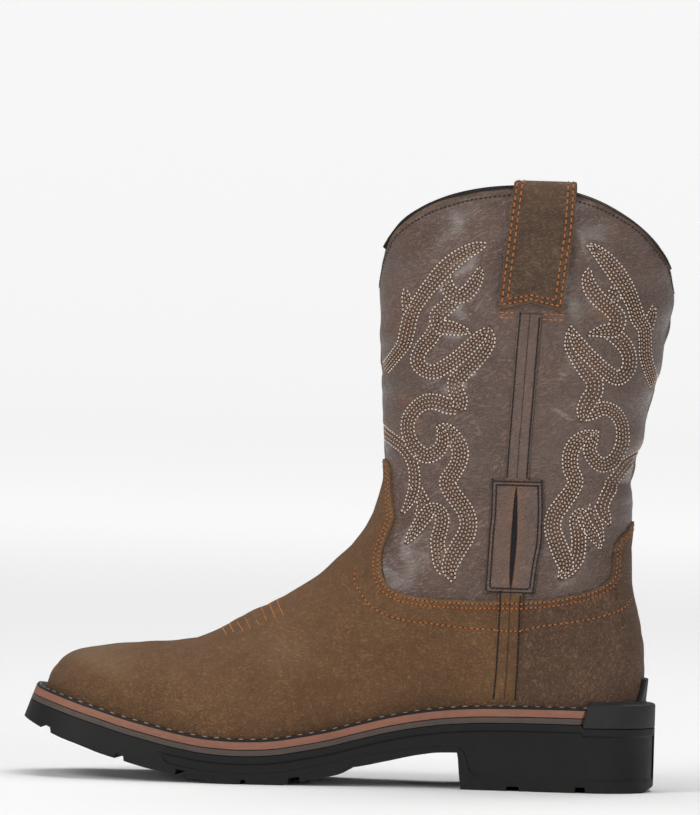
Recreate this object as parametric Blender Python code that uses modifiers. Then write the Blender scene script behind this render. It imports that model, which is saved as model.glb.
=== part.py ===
"""A western work boot: pull-on shaft with a scalloped collar, leather foot and moulded rubber sole.

It is a left boot. The toe points to -X, the outer side of the foot faces -Y and +Z is up.
Tables and sizes are in millimetres, with x measured from the middle of the sole's length.
The origin is on the floor, under the middle of the whole boot.
"""

import math

import bmesh
import bpy
import numpy as np

# Driving sizes, in millimetres
MM = 0.001
CENTRE_X = 1.35          # middle of the boot's whole length, from the middle of the sole's
SOLE_TOE = -152.5        # tip of the toe, at the bottom edge
SOLE_TOE_TOP = -147.4    # tip of the toe at the welt: the toe's face leans back
SOLE_HEEL = 152.5
UPPER_TOE = -140.5       # front of the upper's own wall, at the welt
UPPER_HEEL = 143.6       # back of it
GAP = 0.3                # between pieces that touch
WALL = 1.6               # lined leather of the upper
OVERLAY = 1.2            # leather of vamp and counter
OVERLAY_GAP = 0.6        # from the upper, which turns sharply at the toe
SIDE_GAP = 0.55          # under strips, patches and straps, whose facets differ from the upper's
OVERLAY_LIFT = 0.7       # how far their lower edge ends above the upper's
STRIP = 0.9              # leather of seam strips and patches
STRAP = 2.2              # webbing and leather of a pull strap
GORE = 0.8               # backing of the slits
RUST = 2.9               # rust-coloured midsole
DARK = 2.8               # grey-brown midsole
WELT = 2.0
INSOLE = 3.5
TOE_LEAN = 0.33          # how far the toe's face leans back for each millimetre up
RECESS = 0.9             # depth of the sunk panel in the sole's side
PANEL_START = -86.0      # front end of that panel
BAND_END = 119.0         # where midsoles and welt meet the heel seat
BAND_END_LEVEL = 39.0    # height of that place
BAND_LEAN = 0.33         # lean of the band's end
BAND_SINK = 1.7          # how far the band reaches below the midsoles
BAND_STEP = 115.2        # where the outsole steps down under the band
LAYER_LEVEL = 41.5       # level of the upper that the layers follow inside the band
SEAT_BAND_TOP = 43.0     # top of the band round the heel
SPUR_TOP = 54.6          # top of the kick spur
SPUR_HALF = 17.0         # half its width at its foot
SPUR = 2.4               # its thickness
COLLAR_FRONT = 241.5     # collar's dip at the front
COLLAR_BACK = 243.0      # and behind
COLLAR_RISE = 48.0       # rise of the collar to its sides
COLLAR_STARTS = 198.0    # below this the rings are level
SAG_ENDS = 82.0          # length up the front over which the rings take up the sole's curve
SHAFT_BLEND = (62.0, 112.0)   # where the foot's sections turn into the shaft's, upwards
BLEND_SLOPE = 0.15       # how much lower that is for each millimetre towards the heel
HEEL_PULL = (40.0, 110.0)     # where the foot's widths start to follow the back's outline
SWELL_HEIGHT = 44.0      # height of the swell above the welt
HEEL_X = 108.0           # middle of the heel's curve
HEEL_REACH = 40.5        # from there to the band's front end
OVERLAY_TOPS = (166.0, 150.0) # above the points of vamp and counter
GORE_EDGES = (76.0, 88.0)     # front and back x of the slits' backing
GORE_HEIGHTS = (93.0, 151.0)
SHAFT_STRIP_HEIGHTS = (148.4, 229.9)
FOOT_STRIP_HEIGHTS = (42.6, 95.3)
STRAP_TOP = 289.8        # where the strap starts to turn over the collar
SOLE_SPAN = 90.0         # half the length of cutters that go right through

# Smoothness of the faceted solids
AROUND = 36
RINGS_UP_SHAFT = 16
WELT_SECTIONS = 43

# Front of the upper's wall seen from the side, toe to collar
FRONT = (
    # x, z
    (-140.5, 41.2), (-139.8, 45.0), (-138.3, 49.5), (-135.2, 53.8), (-129.8, 57.3),
    (-123.0, 59.5), (-112.0, 61.6), (-98.0, 62.8), (-84.0, 63.9), (-72.0, 65.4),
    (-61.0, 69.6), (-50.0, 76.0), (-38.5, 81.9), (-27.0, 88.0), (-15.5, 95.6),
    (-3.7, 105.4), (6.6, 116.6), (12.2, 124.5), (15.2, 131.5), (17.4, 140.0),
    (18.5, 148.0), (18.4, 157.0), (17.1, 170.3), (16.2, 181.8), (15.4, 193.3),
    (14.6, 205.0), (14.2, 216.4), (13.8, 228.0), (13.2, 238.0), (13.0, 246.0), (13.0, 292.0),
)

# Back of the upper's wall seen from the side
BACK = (
    # z, x
    (36.0, 143.4), (45.0, 144.2), (53.0, 144.6), (60.0, 144.6), (70.0, 143.9), (82.0, 142.0),
    (93.0, 139.2), (104.5, 137.4), (116.0, 137.0), (128.0, 137.9), (139.0, 138.4),
    (148.0, 137.6), (156.7, 138.6), (168.3, 141.8), (180.0, 143.9), (191.6, 146.5),
    (203.2, 149.4), (215.0, 151.3), (226.5, 153.5), (238.0, 155.0), (246.0, 155.0), (292.0, 155.0),
)

# Each ring round the upper runs from a height on the front to a height on the back
RING_ENDS = (
    # front z, back z
    (41.2, 39.0), (49.5, 43.5), (59.5, 48.0), (65.4, 57.0), (76.0, 68.0), (88.0, 82.0),
    (105.4, 101.0), (124.5, 120.0), (148.0, 145.0), (181.8, 181.0), (COLLAR_FRONT, COLLAR_BACK),
)

# Top of the rust-coloured midsole, which carries the upper
SEAT = (
    # x, z
    (-153.0, 43.6), (-145.2, 41.2), (-134.5, 38.0), (-124.7, 34.9), (-115.0, 32.1),
    (-105.3, 29.2), (-90.8, 25.6), (-76.4, 22.4), (-61.7, 20.2), (-47.2, 19.5), (-38.0, 19.7),
    (-28.6, 20.5), (-19.0, 22.1), (-4.1, 25.1), (10.0, 28.9), (24.6, 32.6), (39.0, 35.4),
    (53.4, 37.3), (72.6, 38.5), (101.5, 38.9), (153.0, 38.9),
)

# Underside of the tread, up to the heel's breast
TREAD = (
    # x, z
    (-153.0, 28.2), (-141.7, 22.9), (-133.9, 19.5), (-124.2, 16.2), (-114.4, 12.7),
    (-104.7, 10.0), (-90.2, 6.2), (-77.1, 3.7), (-66.0, 1.7), (-55.0, 0.0), (-34.0, 0.0),
    (-22.0, 1.2), (-10.0, 3.4), (3.2, 6.6), (5.4, 8.8), (10.9, 9.8), (25.2, 13.0), (39.6, 16.2),
    (49.2, 17.5), (57.6, 17.7), (59.8, 0.0), (146.0, 0.0), (153.0, 3.0),
)

# Lower edge of the sunk panel in the sole's side
PANEL_FOOT = (
    # x, z
    (-84.5, 12.5), (-82.0, 9.6), (-75.8, 7.8), (-55.5, 5.2), (-42.0, 4.7), (-28.5, 5.8),
    (-8.4, 9.6), (5.0, 13.0), (10.7, 14.4), (32.3, 17.8), (47.2, 19.9), (58.0, 20.2),
    (61.5, 16.5), (64.0, 9.0), (70.0, 6.2), (153.0, 6.0),
)

# Half widths of the sole, before its ends are rounded
SOLE_WIDTH = (
    # x, outer side, inner side
    (-153.0, 43.5, 46.0), (-120.0, 47.6, 50.2), (-95.0, 52.6, 54.4), (-75.0, 55.2, 55.4),
    (-55.0, 55.4, 53.3), (-35.0, 52.6, 47.6), (-10.0, 47.0, 41.0), (15.0, 42.2, 37.0),
    (40.0, 39.4, 35.9), (70.0, 38.4, 37.0), (100.0, 38.7, 38.3), (153.0, 38.4, 38.4),
)

# Half widths of the upper where it meets the sole, before its ends are rounded
FEATHER_WIDTH = (
    # x, outer side, inner side
    (-141.0, 35.5, 37.5), (-120.0, 40.2, 42.6), (-95.0, 45.8, 47.6), (-75.0, 48.7, 48.9),
    (-55.0, 49.0, 47.0), (-35.0, 46.4, 41.6), (-10.0, 41.2, 35.2), (15.0, 36.8, 31.6),
    (40.0, 34.4, 30.9), (70.0, 33.6, 32.2), (100.0, 33.9, 33.5), (145.0, 33.6, 33.6),
)

# How the foot's cross section closes over the top, and how far it swells above the welt
FOOT_SECTION = (
    # x, roundness, swell
    (-141.0, 2.7, 0.8), (-110.0, 2.5, 1.0), (-75.0, 2.3, 1.2), (-45.0, 2.1, 2.0),
    (-15.0, 1.95, 3.2), (15.0, 1.9, 3.4), (55.0, 1.9, 2.2), (100.0, 1.9, 0.9), (145.0, 1.9, 0.4),
)

# Level sections of ankle and shaft
SHAFT_SECTION = (
    # z, half width, place of the widest point, roundness in front, roundness behind
    (40.0, 34.0, 0.62, 1.9, 2.7), (80.0, 34.6, 0.62, 1.9, 2.6), (105.0, 35.0, 0.60, 1.9, 2.5),
    (128.0, 37.4, 0.56, 1.95, 2.4), (150.0, 41.0, 0.53, 2.05, 2.3), (175.0, 44.4, 0.51, 2.1, 2.2),
    (200.0, 46.8, 0.50, 2.1, 2.15), (230.0, 48.6, 0.50, 2.15, 2.15), (292.0, 49.8, 0.50, 2.2, 2.2),
)

# Upper edge of vamp and counter, seen from the side, front to back
OVERLAY_EDGE = (
    # x, z
    (0.0, 159.0), (20.4, 155.0), (21.8, 146.0), (22.6, 137.0), (24.1, 129.6), (22.2, 122.7),
    (19.3, 114.0), (18.5, 107.7), (19.1, 102.9), (21.2, 97.7), (26.1, 94.0), (33.9, 92.3),
    (44.5, 91.4), (60.4, 91.2), (75.8, 91.6), (95.1, 92.7), (109.9, 95.1), (119.5, 97.8),
    (125.2, 100.8), (128.9, 104.3), (129.7, 108.7), (129.8, 113.3), (130.4, 117.9),
    (135.9, 127.2), (139.8, 132.6), (146.0, 136.0),
)

OVERLAY_AT_SEAM = 91.7   # height of that edge at the side seam

# Middle line of the side seam, seen from the side
SEAM = (
    # z, x, half width
    (36.0, 79.0, 6.4), (60.0, 80.3, 6.0), (96.0, 81.0, 5.8), (148.0, 82.3, 5.8),
    (190.0, 84.2, 5.8), (232.0, 86.5, 5.8), (292.0, 91.5, 5.8),
)

# Stitched patch over the seam
PATCH = (
    # z, front x, back x
    (95.9, 69.1, 91.2), (109.0, 69.6, 92.6), (122.8, 70.2, 94.4), (134.0, 70.9, 94.5), (148.0, 70.9, 93.9),
)
SLIT = (
    # z, x, half width
    (96.6, 81.0, 0.15), (104.0, 81.2, 0.7), (113.0, 81.6, 1.1), (122.0, 81.9, 1.2),
    (131.0, 82.1, 1.0), (140.0, 82.2, 0.6), (146.6, 82.3, 0.15),
)

# Pull strap, from its notched lower end to the collar
STRAP_EDGES = (
    # z, front x, back x
    (230.6, 71.6, 102.6), (250.0, 73.0, 104.5), (273.0, 75.2, 106.8), (293.0, 77.7, 107.3),
)
STRAP_NOTCH = 4.0
STRAP_INSIDE = 247.0     # lower end of the strap, inside the shaft

# Rounded ends seen from above: radius and power, in front and behind
UPPER_ENDS = ((36.0, 2.7), (35.0, 2.1))
SOLE_ENDS = ((40.0, 2.8), (38.0, 2.15))
INSOLE_ENDS = ((34.0, 2.7), (33.0, 2.1))

# Grooves across the tread, which leave its lugs between them
GROOVES = (
    # x, width, depth, share of the half width that they run in, turn in degrees
    (-140.6, 4.4, 2.2, 0.62, 10.0), (-122.5, 3.0, 1.6, 0.50, 12.0), (-104.4, 4.0, 2.2, 0.62, 14.0),
    (-89.5, 3.0, 1.6, 0.50, 16.0), (-74.4, 5.4, 2.8, 0.62, 16.0), (-59.5, 3.0, 1.6, 0.50, 16.0),
    (-44.6, 2.6, 2.2, 0.62, 16.0), (-32.0, 3.0, 1.6, 0.50, 14.0), (-20.2, 5.6, 2.4, 0.62, 12.0),
    (-7.0, 3.0, 1.6, 0.50, 10.0), (84.9, 6.0, 2.2, 0.62, 0.0), (101.0, 3.0, 1.6, 0.50, 0.0),
    (117.3, 4.8, 2.8, 0.62, 0.0), (133.5, 3.0, 1.6, 0.50, 0.0),
)

BROWN = (0.165, 0.100, 0.058)
BROWN_DARK = (0.130, 0.078, 0.047)
MAUVE_BROWN = (0.175, 0.125, 0.102)
RUST_RED = (0.250, 0.125, 0.085)
GREY_BROWN = (0.085, 0.065, 0.055)
BLACK = (0.018, 0.018, 0.018)
DARK_GREY = (0.032, 0.032, 0.032)


def column(table, at, number=1):
    """Reads a table's column at the given places, on a smooth curve that never overshoots."""
    rows = np.array(table, dtype=float)
    places = rows[:, 0]
    values = rows[:, number]
    step = np.diff(places)
    slope = np.diff(values) / step
    tangent = np.zeros_like(values)
    tangent[0] = slope[0]
    tangent[-1] = slope[-1]
    before = slope[:-1]
    after = slope[1:]
    weight_before = step[:-1] + 2 * step[1:]
    weight_after = 2 * step[:-1] + step[1:]
    turning = before * after <= 0
    safe_before = np.where(turning, 1.0, before)
    safe_after = np.where(turning, 1.0, after)
    mean = (weight_before + weight_after) / (weight_before / safe_before + weight_after / safe_after)
    tangent[1:-1] = np.where(turning, 0.0, mean)
    at = np.clip(np.asarray(at, dtype=float), places[0], places[-1])
    row = np.clip(np.searchsorted(places, at, side="right") - 1, 0, len(step) - 1)
    t = (at - places[row]) / step[row]
    rise = values[row + 1] - values[row]
    start = tangent[row] * step[row]
    end = tangent[row + 1] * step[row]
    return values[row] + t * start + t * t * (3 * rise - 2 * start - end) + t ** 3 * (start + end - 2 * rise)


def smoothstep(low, high, value):
    t = np.clip((value - low) / (high - low), 0.0, 1.0)
    return t * t * (3 - 2 * t)


def rounded_end(distance, radius, power):
    """Share of the full width that is left at a distance from a rounded end."""
    t = np.clip(1 - distance / radius, 0.0, 1.0)
    return (1 - t ** power) ** (1 / power)


def rounded_ends(from_toe, from_heel, ends):
    front, behind = ends
    return rounded_end(from_toe, *front) * rounded_end(from_heel, *behind)


def front_line():
    """The front's outline as closely spaced points: length along it, x and z."""
    rows = np.array(FRONT)
    length = np.concatenate([[0.0], np.cumsum(np.hypot(*np.diff(rows, axis=0).T))])
    fine = np.linspace(0.0, length[-1], 1600)
    x = column(np.column_stack([length, rows[:, 0]]), fine)
    z = column(np.column_stack([length, rows[:, 1]]), fine)
    return fine, x, z


LENGTHS, FRONT_X, FRONT_Z = front_line()
SHAFT_FRONT = int(np.argmax(FRONT_X))
FRONT_LENGTH = float(np.interp(COLLAR_FRONT, FRONT_Z, LENGTHS))


def seat_height(x):
    return column(SEAT, x)


def half_width(x, z, side):
    """Half width of the upper's outer face at a place seen from the side; side is 1 outer, 2 inner."""
    x = np.asarray(x, dtype=float)
    z = np.asarray(z, dtype=float)
    back_x = column(BACK, z)
    front_x = np.interp(z, FRONT_Z, FRONT_X)
    ridge_z = np.interp(x, FRONT_X[:SHAFT_FRONT], FRONT_Z[:SHAFT_FRONT], right=400.0)
    foot_z = seat_height(x)
    pulled = x + (UPPER_HEEL - back_x) * smoothstep(*HEEL_PULL, x)
    power = column(FOOT_SECTION, x, 1)
    up = np.clip((z - foot_z) / np.maximum(ridge_z - foot_z, 0.01), 0.0, 1.0)
    closing = (1 - up ** power) ** (1 / power)
    low = np.clip((z - foot_z) / SWELL_HEIGHT, 0.0, 1.0)
    swell = column(FOOT_SECTION, x, 2) * 4 * low * (1 - low)
    ends = rounded_ends(pulled - UPPER_TOE, UPPER_HEEL - pulled, UPPER_ENDS)
    foot = (column(FEATHER_WIDTH, pulled, side) + swell) * ends * closing
    along = np.clip((x - front_x) / np.maximum(back_x - front_x, 1.0), 0.0, 1.0)
    middle = column(SHAFT_SECTION, z, 2)
    ahead = np.clip(1 - along / middle, 0.0, 1.0)
    behind = np.clip((along - middle) / (1 - middle), 0.0, 1.0)
    round_front = column(SHAFT_SECTION, z, 3)
    round_back = column(SHAFT_SECTION, z, 4)
    curve_front = (1 - ahead ** round_front) ** (1 / round_front)
    curve_back = (1 - behind ** round_back) ** (1 / round_back)
    shaft = column(SHAFT_SECTION, z, 1) * np.where(along < middle, curve_front, curve_back)
    blend = smoothstep(*SHAFT_BLEND, z + BLEND_SLOPE * x)
    return foot + (shaft - foot) * blend


def collar_curve(lift, power, soft):
    """Rise of the collar from its dip to its side, with a rounded dip."""
    return ((lift + soft) ** power - soft ** power) / ((1 + soft) ** power - soft ** power)


def ring_point(turn, length):
    """A place on the upper: turn goes round from the front by the outer side, length up the front."""
    turn = np.asarray(turn, dtype=float)
    length = np.asarray(length, dtype=float)
    front_x = np.interp(length, LENGTHS, FRONT_X)
    front_z = np.interp(length, LENGTHS, FRONT_Z)
    back_z = column(RING_ENDS, front_z)
    back_x = column(BACK, back_z)
    along = (1 - np.cos(turn)) / 2
    x = front_x + (back_x - front_x) * along
    level = front_z + (back_z - front_z) * along
    first_x = UPPER_TOE + (UPPER_HEEL - UPPER_TOE) * along
    first_level = FRONT[0][1] + (RING_ENDS[0][1] - FRONT[0][1]) * along
    sag = first_level - seat_height(first_x) - GAP
    sag = sag * (np.clip(1 - length / SAG_ENDS, 0.0, 1.0) ** 1.6)
    lift = np.sin(turn) ** 2
    front_rise = collar_curve(lift, 0.33, 0.001)
    back_rise = collar_curve(lift, 0.55, 0.004)
    rise = front_rise + (back_rise - front_rise) * smoothstep(0.35, 0.65, along)
    share = np.clip((level - COLLAR_STARTS) / (COLLAR_FRONT - COLLAR_STARTS), 0.0, 1.0)
    z = level - sag + COLLAR_RISE * rise * share ** 1.4
    outer = half_width(x, z, 1)
    inner = half_width(x, z, 2)
    y = np.where(np.sin(turn) >= 0, -outer, inner)
    y = np.where(np.abs(np.sin(turn)) < 1e-9, 0.0, y)
    return np.stack([x, y, z], axis=-1)


def place(points):
    """Points in metres, in the boot's own frame."""
    moved = np.array(points, dtype=float).reshape(-1, 3)
    moved[:, 0] -= CENTRE_X
    return [tuple(point) for point in moved * MM]


def offset_rings(turns, lengths, offset, foot_lift=0.0):
    """A grid of places on the upper, moved out along its own normals."""
    turn, length = np.meshgrid(turns, lengths)
    reach = 0.02
    around = ring_point(turn + reach, length) - ring_point(turn - reach, length)
    above = ring_point(turn, np.minimum(length + 1.0, FRONT_LENGTH))
    below = ring_point(turn, np.maximum(length - 1.0, 0.0))
    normal = np.cross(around, above - below)
    normal /= np.linalg.norm(normal, axis=-1, keepdims=True)
    grid = ring_point(turn, length) + normal * offset
    grid[0, :, 2] = seat_height(grid[0, :, 0]) + GAP + foot_lift
    return grid


def skin(x, z, side, offset):
    """A place on one side of the upper, moved out along the normal."""
    x = np.asarray(x, dtype=float)
    z = np.asarray(z, dtype=float)
    across = half_width(x, z, side)
    slope_x = (half_width(x + 0.5, z, side) - half_width(x - 0.5, z, side))
    slope_z = (half_width(x, z + 0.5, side) - half_width(x, z - 0.5, side))
    size = np.sqrt(1 + slope_x ** 2 + slope_z ** 2)
    sign = -1.0 if side == 1 else 1.0
    y = sign * (across + offset / size)
    return np.stack([x - offset * slope_x / size, y, z - offset * slope_z / size], axis=-1)


def material(name, colour, roughness):
    made = bpy.data.materials.get(name) or bpy.data.materials.new(name)
    made.use_nodes = True
    shader = made.node_tree.nodes["Principled BSDF"]
    shader.inputs["Base Color"].default_value = (*colour, 1.0)
    shader.inputs["Roughness"].default_value = roughness
    shader.inputs["Metallic"].default_value = 0.0
    return made


def new_object(name, mesh, collection, finish=None):
    thing = bpy.data.objects.new(name, mesh)
    collection.objects.link(thing)
    if finish:
        mesh.materials.append(finish)
        mesh.shade_smooth()
        mesh.set_sharp_from_angle(angle=math.radians(40))
    return thing


def grid_mesh(name, grid, closed_round=False):
    """A sheet through a grid of places, row by row, split alike so that sheets stay parallel."""
    rows, across = grid.shape[:2]
    sheet = bmesh.new()
    corners = [sheet.verts.new(point) for point in place(grid)]
    columns = across if closed_round else across - 1
    for row in range(rows - 1):
        for number in range(columns):
            beside = (number + 1) % across
            low = row * across
            high = low + across
            sheet.faces.new((corners[low + number], corners[low + beside], corners[high + beside]))
            sheet.faces.new((corners[low + number], corners[high + beside], corners[high + number]))
    mesh = bpy.data.meshes.new(name)
    sheet.to_mesh(mesh)
    sheet.free()
    return mesh


def loft_mesh(name, sections):
    """A solid through closed sections with the same number of corners, and flat ends."""
    count = len(sections[0])
    solid = bmesh.new()
    rings = []
    for section in sections:
        rings.append([solid.verts.new(point) for point in place(section)])
    for ring, following in zip(rings, rings[1:]):
        for number in range(count):
            beside = (number + 1) % count
            solid.faces.new((ring[number], ring[beside], following[beside], following[number]))
    solid.faces.new(tuple(reversed(rings[0])))
    solid.faces.new(tuple(rings[-1]))
    bmesh.ops.recalc_face_normals(solid, faces=solid.faces)
    mesh = bpy.data.meshes.new(name)
    solid.to_mesh(mesh)
    solid.free()
    return mesh


def thicken(thing, thickness, outward=False):
    shell = thing.modifiers.new("thickness", "SOLIDIFY")
    shell.thickness = thickness * MM
    shell.offset = 1.0 if outward else -1.0
    shell.use_even_offset = True
    return shell


def cut(thing, cutter, operation="DIFFERENCE"):
    tool = thing.modifiers.new(cutter.name, "BOOLEAN")
    tool.operation = operation
    tool.solver = "EXACT"
    tool.object = cutter


def make_cutter(name, mesh, collection):
    cutter = new_object(name, mesh, collection)
    cutter.display_type = "WIRE"
    cutter.hide_render = True
    return cutter


def side_prism(name, outline, collection):
    """A cutter: an outline seen from the side, run straight through the boot."""
    near = [(x, -SOLE_SPAN, z) for x, z in outline]
    far = [(x, SOLE_SPAN, z) for x, z in outline]
    return make_cutter(name, loft_mesh(name, [near, far]), collection)


def ring_lengths():
    """Where the rings of the faceted upper lie, close together round the toe."""
    toe = np.array([0.0, 3.5, 8.0, 13.0, 18.0, 24.0, 32.0, 43.0, 56.0])
    shaft = np.linspace(69.0, FRONT_LENGTH, RINGS_UP_SHAFT)
    return np.concatenate([toe, shaft])


def make_upper(parts, cutters):
    turns = np.linspace(0.0, 2 * math.pi, AROUND, endpoint=False)
    grid = offset_rings(turns, ring_lengths(), 0.0)
    leather = material("shaft_leather", MAUVE_BROWN, 0.5)
    upper = new_object("upper", grid_mesh("upper", grid, True), parts, leather)
    thicken(upper, WALL)
    cut(upper, side_prism("slit_cutter", slit_outline(), cutters))


def slit_outline():
    front = [(x - half, z) for z, x, half in SLIT]
    back = [(x + half, z) for z, x, half in SLIT]
    return front + back[::-1]


def seam_x(z):
    return column(SEAM, z, 1)


def overlay_outline(vamp):
    """Outline of vamp or counter seen from the side, run wide of the boot in front and behind."""
    edge = [(x, z) for x, z in OVERLAY_EDGE]
    split = float(seam_x(OVERLAY_AT_SEAM))
    heights = np.linspace(OVERLAY_AT_SEAM - 6.0, 10.0, 6)
    if vamp:
        top = [row for row in edge if row[0] < split - 1.0]
        seam = [(float(seam_x(z)) - GAP / 2, float(z)) for z in heights]
        join = [(split - GAP / 2, OVERLAY_AT_SEAM)]
        return [(-170.0, 159.0)] + top + join + seam + [(-170.0, 10.0)]
    top = [row for row in edge if row[0] > split + 1.0]
    seam = [(float(seam_x(z)) + GAP / 2, float(z)) for z in heights]
    join = [(split + GAP / 2, OVERLAY_AT_SEAM)]
    return [(170.0, 136.0)] + top[::-1] + join + seam + [(170.0, 10.0)]


def make_overlay(name, vamp, colour, parts, cutters):
    """Vamp or counter: a shell over the upper, cut to its outline."""
    turns = np.linspace(0.0, 2 * math.pi, AROUND, endpoint=False)
    lengths = ring_lengths()
    top = OVERLAY_TOPS[0] if vamp else OVERLAY_TOPS[1]
    highest = float(np.interp(top, FRONT_Z, LENGTHS))
    lengths = lengths[lengths < highest + 8.0]
    grid = offset_rings(turns, lengths, OVERLAY_GAP, OVERLAY_LIFT)
    shell = new_object(name, grid_mesh(name, grid, True), parts, material(name + "_leather", colour, 0.7))
    thicken(shell, OVERLAY, outward=True)
    cut(shell, side_prism(name + "_outline", overlay_outline(vamp), cutters), "INTERSECT")


def side_sheet(name, heights, edges, side, offset, thickness, across, finish, parts):
    """A flat piece laid on one side of the upper; edges gives its front and back x at a height."""
    rows = []
    for z in heights:
        front, back = edges(z)
        xs = np.linspace(front, back, across)
        rows.append(skin(xs, np.full(across, z), side, offset))
    grid = np.array(rows)
    if side == 2:
        grid = grid[:, ::-1]
    piece = new_object(name, grid_mesh(name, grid), parts, finish)
    thicken(piece, thickness, outward=True)
    return piece


def make_side(side, word, parts, cutters):
    """Seam strips, patch and its backing on one side."""
    brown = material("strip_leather", MAUVE_BROWN, 0.55)
    foot_brown = material("foot_strip_leather", BROWN_DARK, 0.65)
    black = material("gore_elastic", BLACK, 0.9)

    def strip(z):
        middle = float(seam_x(z))
        half = float(column(SEAM, z, 2))
        return middle - half, middle + half

    def patch(z):
        return float(column(PATCH, z, 1)), float(column(PATCH, z, 2))

    def gore(z):
        return GORE_EDGES

    shaft_heights = np.linspace(*SHAFT_STRIP_HEIGHTS, 7)
    side_sheet("shaft_strip_" + word, shaft_heights, strip, side, SIDE_GAP, STRIP, 4, brown, parts)
    foot_heights = np.linspace(*FOOT_STRIP_HEIGHTS, 6)
    above = OVERLAY_GAP + OVERLAY + SIDE_GAP
    side_sheet("foot_strip_" + word, foot_heights, strip, side, above, STRIP, 4, foot_brown, parts)
    patch_heights = np.linspace(PATCH[0][0], PATCH[-1][0], 6)
    cover = side_sheet("patch_" + word, patch_heights, patch, side, SIDE_GAP, STRIP, 5, brown, parts)
    cut(cover, bpy.data.objects["slit_cutter"])
    under = -WALL - SIDE_GAP - GORE
    side_sheet("gore_" + word, np.linspace(*GORE_HEIGHTS, 4), gore, side, under, GORE, 3, black, parts)


def make_strap(side, word, parts):
    """A pull strap: up the outside, over the collar and down inside the shaft."""
    outside = SIDE_GAP + STRAP / 2
    inside = -WALL - SIDE_GAP - STRAP / 2
    centre = (outside + inside) / 2
    radius = (outside - inside) / 2
    share = np.linspace(0.0, 1.0, 5)
    rows = []

    def row(z, offset, lift=0.0):
        front = float(column(STRAP_EDGES, z, 1))
        back = float(column(STRAP_EDGES, z, 2))
        xs = front + (back - front) * share
        return skin(xs, np.full(5, z) + lift, side, offset)

    notch = STRAP_NOTCH * (1 - np.abs(2 * share - 1))
    rows.append(row(STRAP_EDGES[0][0], outside, notch))
    for z in np.linspace(238.0, 282.0, 4):
        rows.append(row(float(z), outside))
    for angle in np.linspace(0.0, math.pi, 7):
        rows.append(row(STRAP_TOP + radius * math.sin(angle), centre + radius * math.cos(angle)))
    for z in (280.0, 264.0, STRAP_INSIDE):
        rows.append(row(z, inside))
    grid = np.array(rows)
    if side == 2:
        grid = grid[:, ::-1]
    strap = new_object("strap_" + word, grid_mesh("strap_" + word, grid), parts,
                       material("strap_leather", BROWN_DARK, 0.6))
    shell = thicken(strap, STRAP)
    shell.offset = 0.0


def sole_edge(x, side, toe, inset=0.0):
    """Half width of the sole at a place, with its squared toe and round heel."""
    ends = rounded_ends(x - toe, SOLE_HEEL - inset - x, SOLE_ENDS)
    return (column(SOLE_WIDTH, x, side) - inset) * ends


def stations(breaks=(), count=40):
    """Places along the sole, close together at both ends, with the given ones among them."""
    even = (1 - np.cos(np.linspace(0.05, math.pi - 0.05, count))) / 2
    places = SOLE_TOE + (SOLE_HEEL - SOLE_TOE) * even
    for wanted in breaks:
        places = places[np.abs(places - wanted) > 1.6]
    return np.sort(np.concatenate([places, np.array(breaks, dtype=float)]))


def lean(x, toe):
    """Moves a place along the sole so that the toe starts further back, higher up its face."""
    share = np.clip((SOLE_HEEL - x) / (SOLE_HEEL - SOLE_TOE), 0.0, 1.0)
    return x + (toe - SOLE_TOE) * share ** 6


def level_pair(x, z, toe, inset=0.0):
    """Outer and inner corner of the sole at one level."""
    return (x, -float(sole_edge(x, 1, toe, inset)), z), (x, float(sole_edge(x, 2, toe, inset)), z)


def toe_at_drop(drop):
    """Tip of the toe at a depth below the welt."""
    return SOLE_TOE_TOP - TOE_LEAN * drop


def make_outsole(parts, cutters):
    sections = []
    panel = [PANEL_START, -84.0, -82.0, -78.0]
    breast = [3.2, 5.4, 57.6, 59.8, 61.5, 64.0, 68.0]
    drop = RUST + DARK + 2 * GAP
    top_toe = toe_at_drop(drop)
    for x in stations(panel + breast + [-55.0, -34.0, 146.0, BAND_STEP, BAND_STEP + 0.3]):
        top_x = lean(x, top_toe)
        top = float(seat_height(top_x)) - drop
        if x > BAND_STEP + 0.1:
            top -= BAND_SINK
        bottom = float(column(TREAD, x))
        sunk = RECESS * float(smoothstep(PANEL_START, PANEL_START + 4.0, x))
        panel_top = top - 3.4
        panel_foot = min(max(float(column(PANEL_FOOT, x)), bottom + 1.6), panel_top - 1.2)
        if sunk == 0.0:
            panel_top = top - 0.38 * (top - bottom)
            panel_foot = top - 0.62 * (top - bottom)
        bevel = 0.4 if sunk > 0 else 0.0
        corners = []
        for z, inset in ((top, 0.0), (panel_top, 0.0), (panel_top - bevel, sunk),
                         (panel_foot + bevel, sunk), (panel_foot, 0.0), (bottom, 0.3)):
            share = (z - bottom) / (top - bottom)
            toe = SOLE_TOE + (top_toe - SOLE_TOE) * share
            corners.append(level_pair(x + (top_x - x) * share, z, toe, inset))
        outer = [pair[0] for pair in corners]
        inner = [pair[1] for pair in corners]
        sections.append(outer + inner[::-1])
    mesh = loft_mesh("outsole", sections)
    outsole = new_object("outsole", mesh, parts, material("sole_rubber", BLACK, 0.6))
    cut(outsole, groove_cutter(cutters))


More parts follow.
